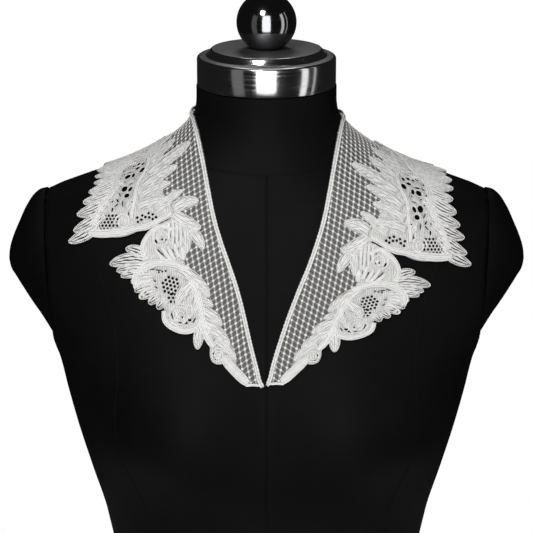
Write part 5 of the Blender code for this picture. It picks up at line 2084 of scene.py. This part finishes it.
@dataclass(frozen=True)
class Jersey:
    """Fine black cotton jersey, stretched over padding."""

    colour: Colour = (0.0036, 0.0036, 0.0037)
    roughness: float = 0.6
    specular: float = 0.07
    wale: float = 0.0011
    depth: float = 0.00012
    worn: float = 1.3
    unworn: float = 0.8

    def material(self) -> bpy.types.Material:
        """The jersey's material: knit ribs, a slight nap and faint wear.

        Returns:
            The material.
        """
        recipe = Recipe("black_jersey")
        knit = recipe.bands("X", {"Scale": WAVE_STEP / self.wale, "Distortion": 1.5, "Detail": 2.0})
        nap = recipe.noise(1.0 / self.wale, 3.0)
        both = recipe.add("Mix", {"Factor": 0.5, "A": knit, "B": nap})
        recipe.relief(both.outputs["Result"], 0.5, self.depth)
        low, high = shade(self.colour, self.unworn), shade(self.colour, self.worn)
        colour = recipe.blend(recipe.noise(22.0, 4.0), (0.3, low), (0.75, high))
        return recipe.finish(
            {"Base Color": colour, "Roughness": self.roughness, "Specular IOR Level": self.specular}
        )


@dataclass(frozen=True)
class PolishedMetal:
    """Polished metal with fine turning marks, and painted shade on its faces that look straight up."""

    name: str = "polished_metal"
    colour: Colour = (0.62, 0.62, 0.63)
    roughness: float = 0.1
    brushed: float = 0.45
    top_share: float = 0.25
    level_from: float = 0.97
    level_to: float = 0.999
    streak: tuple[float, float, float] = (30.0, 30.0, 1500.0)
    marks: float = 1400.0 / 3
    mark_depth: float = 0.00005

    def material(self) -> bpy.types.Material:
        """The metal's material: a brushed top darkened by painted shade, turning marks and streaks in its
        gloss.

        Returns:
            The material.
        """
        recipe = Recipe(self.name)
        place = recipe.coordinates.outputs
        stretch = recipe.add("Mapping", {"Vector": place["Object"], "Scale": self.streak})
        smear = recipe.noise(1.0, 5.0, stretch.outputs["Vector"])
        gloss = recipe.span(smear, (0.3, 0.7), (self.roughness * 0.6, self.roughness * 2.2))
        facing = recipe.add("SeparateXYZ", {"Vector": place["Normal"]}).outputs["Z"]
        flat = recipe.span(facing, (self.level_from, self.level_to), (0.0, self.brushed))
        rough = recipe.add("Math", {0: gloss, 1: flat})
        marks = recipe.bands("Z", {"Scale": self.marks, "Distortion": 0.4})
        recipe.relief(marks, 0.08, self.mark_depth)
        # Painted shade: faces that look straight up get a darker share of the colour.
        top = shade(self.colour, self.top_share)
        colour = recipe.blend(facing, (self.level_from, self.colour), (self.level_to, top))
        return recipe.finish({"Base Color": colour, "Roughness": rough.outputs["Value"], "Metallic": 1.0})


@dataclass(frozen=True)
class CottonLace:
    """Ivory cotton lace thread, worked close: bright where it stands full, greyer in its grooves, where
    thinner thread and painted groove shade darken it.
    """

    name: str = "ivory_lace"
    full: Colour = (0.94, 0.935, 0.92)
    # The colour of thin thread and of painted shade in grooves.
    sunk: Colour = (0.24, 0.237, 0.23)
    roughness: float = 0.85
    specular: float = 0.3
    thread_pitch: float = 0.13
    stitch_pitch: float = 0.085
    depth: float = 0.0003

    def material(self) -> bpy.types.Material:
        """The lace's material: threads along each piece, stitches across them, fuzz, slight unevenness, and
        painted shade in the grooves from the vertex attribute.

        Returns:
            The material.
        """
        recipe = Recipe(self.name)
        along = recipe.add("UVMap")
        along.uv_map = "thread"
        uneven = {"Vector": along.outputs["UV"], "Distortion": 5.0, "Detail": 3.0, "Detail Scale": 1.2}
        threads = recipe.bands("X", {"Scale": WAVE_STEP / self.thread_pitch} | uneven)
        stitches = recipe.bands("Y", {"Scale": WAVE_STEP / self.stitch_pitch} | uneven)
        # The vertex attribute holds how full the thread stands, with painted shade in the grooves and at
        # the shells' feet.
        tone = recipe.add("Attribute")
        tone.attribute_name = "tone"
        fill_and_shade_value = tone.outputs["Fac"]
        patches = recipe.noise(260.0, 5.0)
        light = recipe.total([(fill_and_shade_value, 0.55), (threads, 0.28), (stitches, 0.16), (patches, 0.3)])
        colour = recipe.blend(light, (0.3, self.sunk), (0.85, self.full))
        fuzz = recipe.noise(1300.0, 4.0)
        recipe.relief(recipe.total([(fuzz, 0.25)], light), 0.8, self.depth)
        return recipe.finish(
            {"Base Color": colour, "Roughness": self.roughness, "Specular IOR Level": self.specular}
        )


@dataclass(frozen=True)
class Tulle:
    """Fine cotton tulle that lets the form show through."""

    colour: Colour = (0.72, 0.71, 0.69)
    dark_share: float = 0.75
    cover: float = 0.21
    cells: float = 900.0

    def material(self) -> bpy.types.Material:
        """The tulle's material: mostly open, with the threads' unevenness in its colour.

        Returns:
            The material.
        """
        recipe = Recipe("fine_net")
        places = recipe.coordinates.outputs["Object"]
        cells = recipe.add("TexVoronoi", {"Vector": places, "Scale": self.cells}).outputs["Distance"]
        colour = recipe.blend(cells, (0.0, shade(self.colour, self.dark_share)), (1.0, self.colour))
        return recipe.finish({"Base Color": colour, "Roughness": 0.9, "Alpha": self.cover})


@dataclass(frozen=True)
class PaleFloor:
    """A matt pale floor."""

    colour: Colour = (0.86, 0.86, 0.86)
    dark_share: float = 0.98

    def material(self) -> bpy.types.Material:
        """The floor's material, with a trace of unevenness.

        Returns:
            The material.
        """
        recipe = Recipe("pale_floor")
        low, high = (0.0, shade(self.colour, self.dark_share)), (1.0, self.colour)
        colour = recipe.blend(recipe.noise(3.0, 2.0), low, high)
        return recipe.finish({"Base Color": colour, "Roughness": 0.8})


# The studio


class Lamp(NamedTuple):
    """A soft light: its place, target, width, height and power, and if metal mirrors it."""

    name: str
    place: tuple[float, float, float]
    target: tuple[float, float, float]
    width: float
    height: float
    power: float
    mirrored: bool = True


@dataclass
class Studio:
    """The pale floor, the soft lights, the white surroundings and the camera."""

    distance: float = 1.8
    elevation: float = 16.5
    target_height: float = 0.3847
    lens: float = 155.8
    floor_radius: float = 0.38
    surroundings: float = 0.014
    backdrop: float = 1.0
    lamps: tuple[Lamp, ...] = (
        Lamp("front", (-0.02, -2.3, 0.7), (-0.02, 0, 0.7), 1.3, 2.8, 36.0),
        Lamp("above", (-0.45, -1.3, 1.9), (0, 0, 0.4), 0.45, 0.45, 16.0),
        Lamp("right", (1.75, -0.8, 0.5), (0, 0, 0.5), 0.4, 2.4, 4.0),
        Lamp("right_edge", (1.9, -0.15, 0.5), (0, 0, 0.5), 0.12, 2.4, 0.8),
        Lamp("left", (-1.45, -1.3, 0.5), (0, 0, 0.5), 0.7, 2.4, 1.0),
        Lamp("behind", (0, 1.4, 2.3), (0, 0, 0.45), 0.8, 0.8, 6.0),
        Lamp("behind_low", (0, 1.7, 0.3), (0, 0, 0.45), 0.9, 0.5, 9.0, False),
    )

    def camera(self) -> None:
        """The camera at the photograph's angle."""
        turn = math.radians(self.elevation)
        data = bpy.data.cameras.new("camera")
        data.lens = self.lens
        data.sensor_width = 36.0
        camera = bpy.data.objects.new("camera", data)
        camera.location = (
            0,
            -self.distance * math.cos(turn),
            self.target_height + self.distance * math.sin(turn),
        )
        camera.rotation_euler = (math.pi / 2 - turn, 0, 0)
        bpy.context.scene.collection.objects.link(camera)
        bpy.context.scene.camera = camera

    def lights(self) -> None:
        """The soft lights."""
        for lamp in self.lamps:
            data = bpy.data.lights.new(lamp.name, "AREA")
            data.shape = "RECTANGLE"
            data.size = lamp.width
            data.size_y = lamp.height
            data.energy = lamp.power
            light = bpy.data.objects.new(lamp.name, data)
            light.location = lamp.place
            toward = Vector(lamp.target) - Vector(lamp.place)
            light.rotation_euler = toward.to_track_quat("-Z", "Y").to_euler()
            light.visible_glossy = lamp.mirrored
            bpy.context.scene.collection.objects.link(light)

    def world(self) -> None:
        """White surroundings, brighter where the camera sees them."""
        world = bpy.data.worlds.new("studio")
        bpy.context.scene.world = world
        world.use_nodes = True
        nodes, links = world.node_tree.nodes, world.node_tree.links
        soft = nodes["Background"]
        soft.inputs["Color"].default_value = (1, 1, 1, 1)
        soft.inputs["Strength"].default_value = self.surroundings
        white = nodes.new("ShaderNodeBackground")
        white.inputs["Color"].default_value = (1, 1, 1, 1)
        white.inputs["Strength"].default_value = self.backdrop
        ray = nodes.new("ShaderNodeLightPath")
        mix = nodes.new("ShaderNodeMixShader")
        links.new(ray.outputs["Is Camera Ray"], mix.inputs["Fac"])
        links.new(soft.outputs["Background"], mix.inputs[1])
        links.new(white.outputs["Background"], mix.inputs[2])
        links.new(mix.outputs["Shader"], nodes["World Output"].inputs["Surface"])

    def floor(self) -> bpy.types.Object:
        """The floor under the form.

        Returns:
            The new object.
        """
        bpy.ops.mesh.primitive_circle_add(
            vertices=128, radius=self.floor_radius, fill_type="NGON", location=(0, 0, 0)
        )
        floor = bpy.context.active_object
        floor.name = "floor"
        floor.data.materials.append(PaleFloor().material())
        floor.select_set(False)
        return floor

    def build(self) -> None:
        """Sets up the studio."""
        self.camera()
        self.lights()
        self.world()
        self.floor()
        bpy.context.scene.view_settings.view_transform = "Standard"


@dataclass
class Collar:
    """The collar: net, tape and the three sprays of lace, for both halves."""

    lace: bpy.types.Material
    tulle: bpy.types.Material
    thread: bpy.types.Material
    tape: bpy.types.Material
    net: Net = field(default_factory=Net)

    def net_half(self, side: Side) -> None:
        """The net of one half and the tape on its neck edge.

        Args:
            side: Which half.
        """
        tulle = dress(self.net.tulle(side), self.tulle)
        threads = dress(self.net.threads(side), self.thread)
        tape = dress(self.net.tape(side), self.tape)
        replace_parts(tulle, f"net_{side.word}")
        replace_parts(tape, f"neck_tape_{side.word}")
        flat, area = self.cut_size(self.net.cut())

    def spray_half(self, design: SprayDesign, side: Side) -> None:
        """One spray of the border on one half.

        Args:
            design: The spray.
            side: Which half.
        """
        spray = Spray(design)
        ground = dress(spray.ground(side), self.lace)
        raised = dress(spray.raised(side), self.lace)
        if design.name.startswith("back"):
            for piece in (ground, raised):
                cut_at_centre(piece, side)
        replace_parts(ground, f"{design.name}_{side.word}")
        flat, area = self.cut_size(spray.ground_cut())

    @staticmethod
    def cut_size(cut: FlatCut) -> tuple[tuple[float, float], float]:
        """The size of a cut, turned on the pattern so that it needs the least cloth.

        Args:
            cut: The cut.

        Returns:
            Its width and length, and its area, in metres.
        """
        boxes = []
        for turn in np.radians(np.arange(0, 90, 3)):
            c, s = math.cos(turn), math.sin(turn)
            turned = cut.outline @ np.array([[c, -s], [s, c]])
            boxes.append(sorted(np.ptp(turned, axis=0) * MM))
        width, length = min(boxes, key=lambda box: box[0] * box[1])
        flat, kept = cut.triangles()
        corners = flat[np.array(kept)]
        one, two = corners[:, 1] - corners[:, 0], corners[:, 2] - corners[:, 0]
        area = 0.5 * np.abs(one[:, 0] * two[:, 1] - one[:, 1] * two[:, 0]).sum() * MM**2
        return (float(width), float(length)), float(area)

    def build(self) -> None:
        """Both halves of the whole collar."""
        for side in Side:
            self.net_half(side)
            for design in (BackRule().design(), SHOULDER, FRONT):
                self.spray_half(design, side)


def cut_at_centre(obj: bpy.types.Object, side: Side, seam: float = 0.15) -> None:
    """Cuts a half of the back of the border off at the centre back and closes it there.

    Args:
        obj: The piece.
        side: Which half it is of.
        seam: How far from the centre it is cut.
    """
    place, facing = (seam * MM * side.value, 0, 0), (-side.value, 0, 0)
    with editing(obj):
        bpy.ops.mesh.bisect(plane_co=place, plane_no=facing, use_fill=True, clear_outer=True)


def main() -> None:
    """Builds the studio, the dress form and the collar."""
    logging.basicConfig(level=logging.INFO, format="%(message)s")
    Studio().build()
    form = DressForm()
    jersey = Jersey().material()
    metal = PolishedMetal().material()
    dark_metal = PolishedMetal("dark_metal", (0.3, 0.3, 0.31), 0.07, 0.0).material()
    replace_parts(dress(form.body(), jersey), "form_body")
    for side in Side:
        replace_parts(dress(form.arm_cap(side), jersey), f"arm_cap_{side.word}")
    dress(form.seams(), jersey)
    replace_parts(dress(form.neck_cap(), metal), "neck_cap")
    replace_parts(dress(form.ball(), dark_metal), "finial_ball")
    thread = CottonLace("net_thread", (0.96, 0.955, 0.94), (0.26, 0.257, 0.25)).material()
    tape = CottonLace("neck_tape", (0.94, 0.935, 0.92), (0.3, 0.296, 0.29)).material()
    Collar(CottonLace().material(), Tulle().material(), thread, tape).build()


if __name__ == "__main__":
    main()
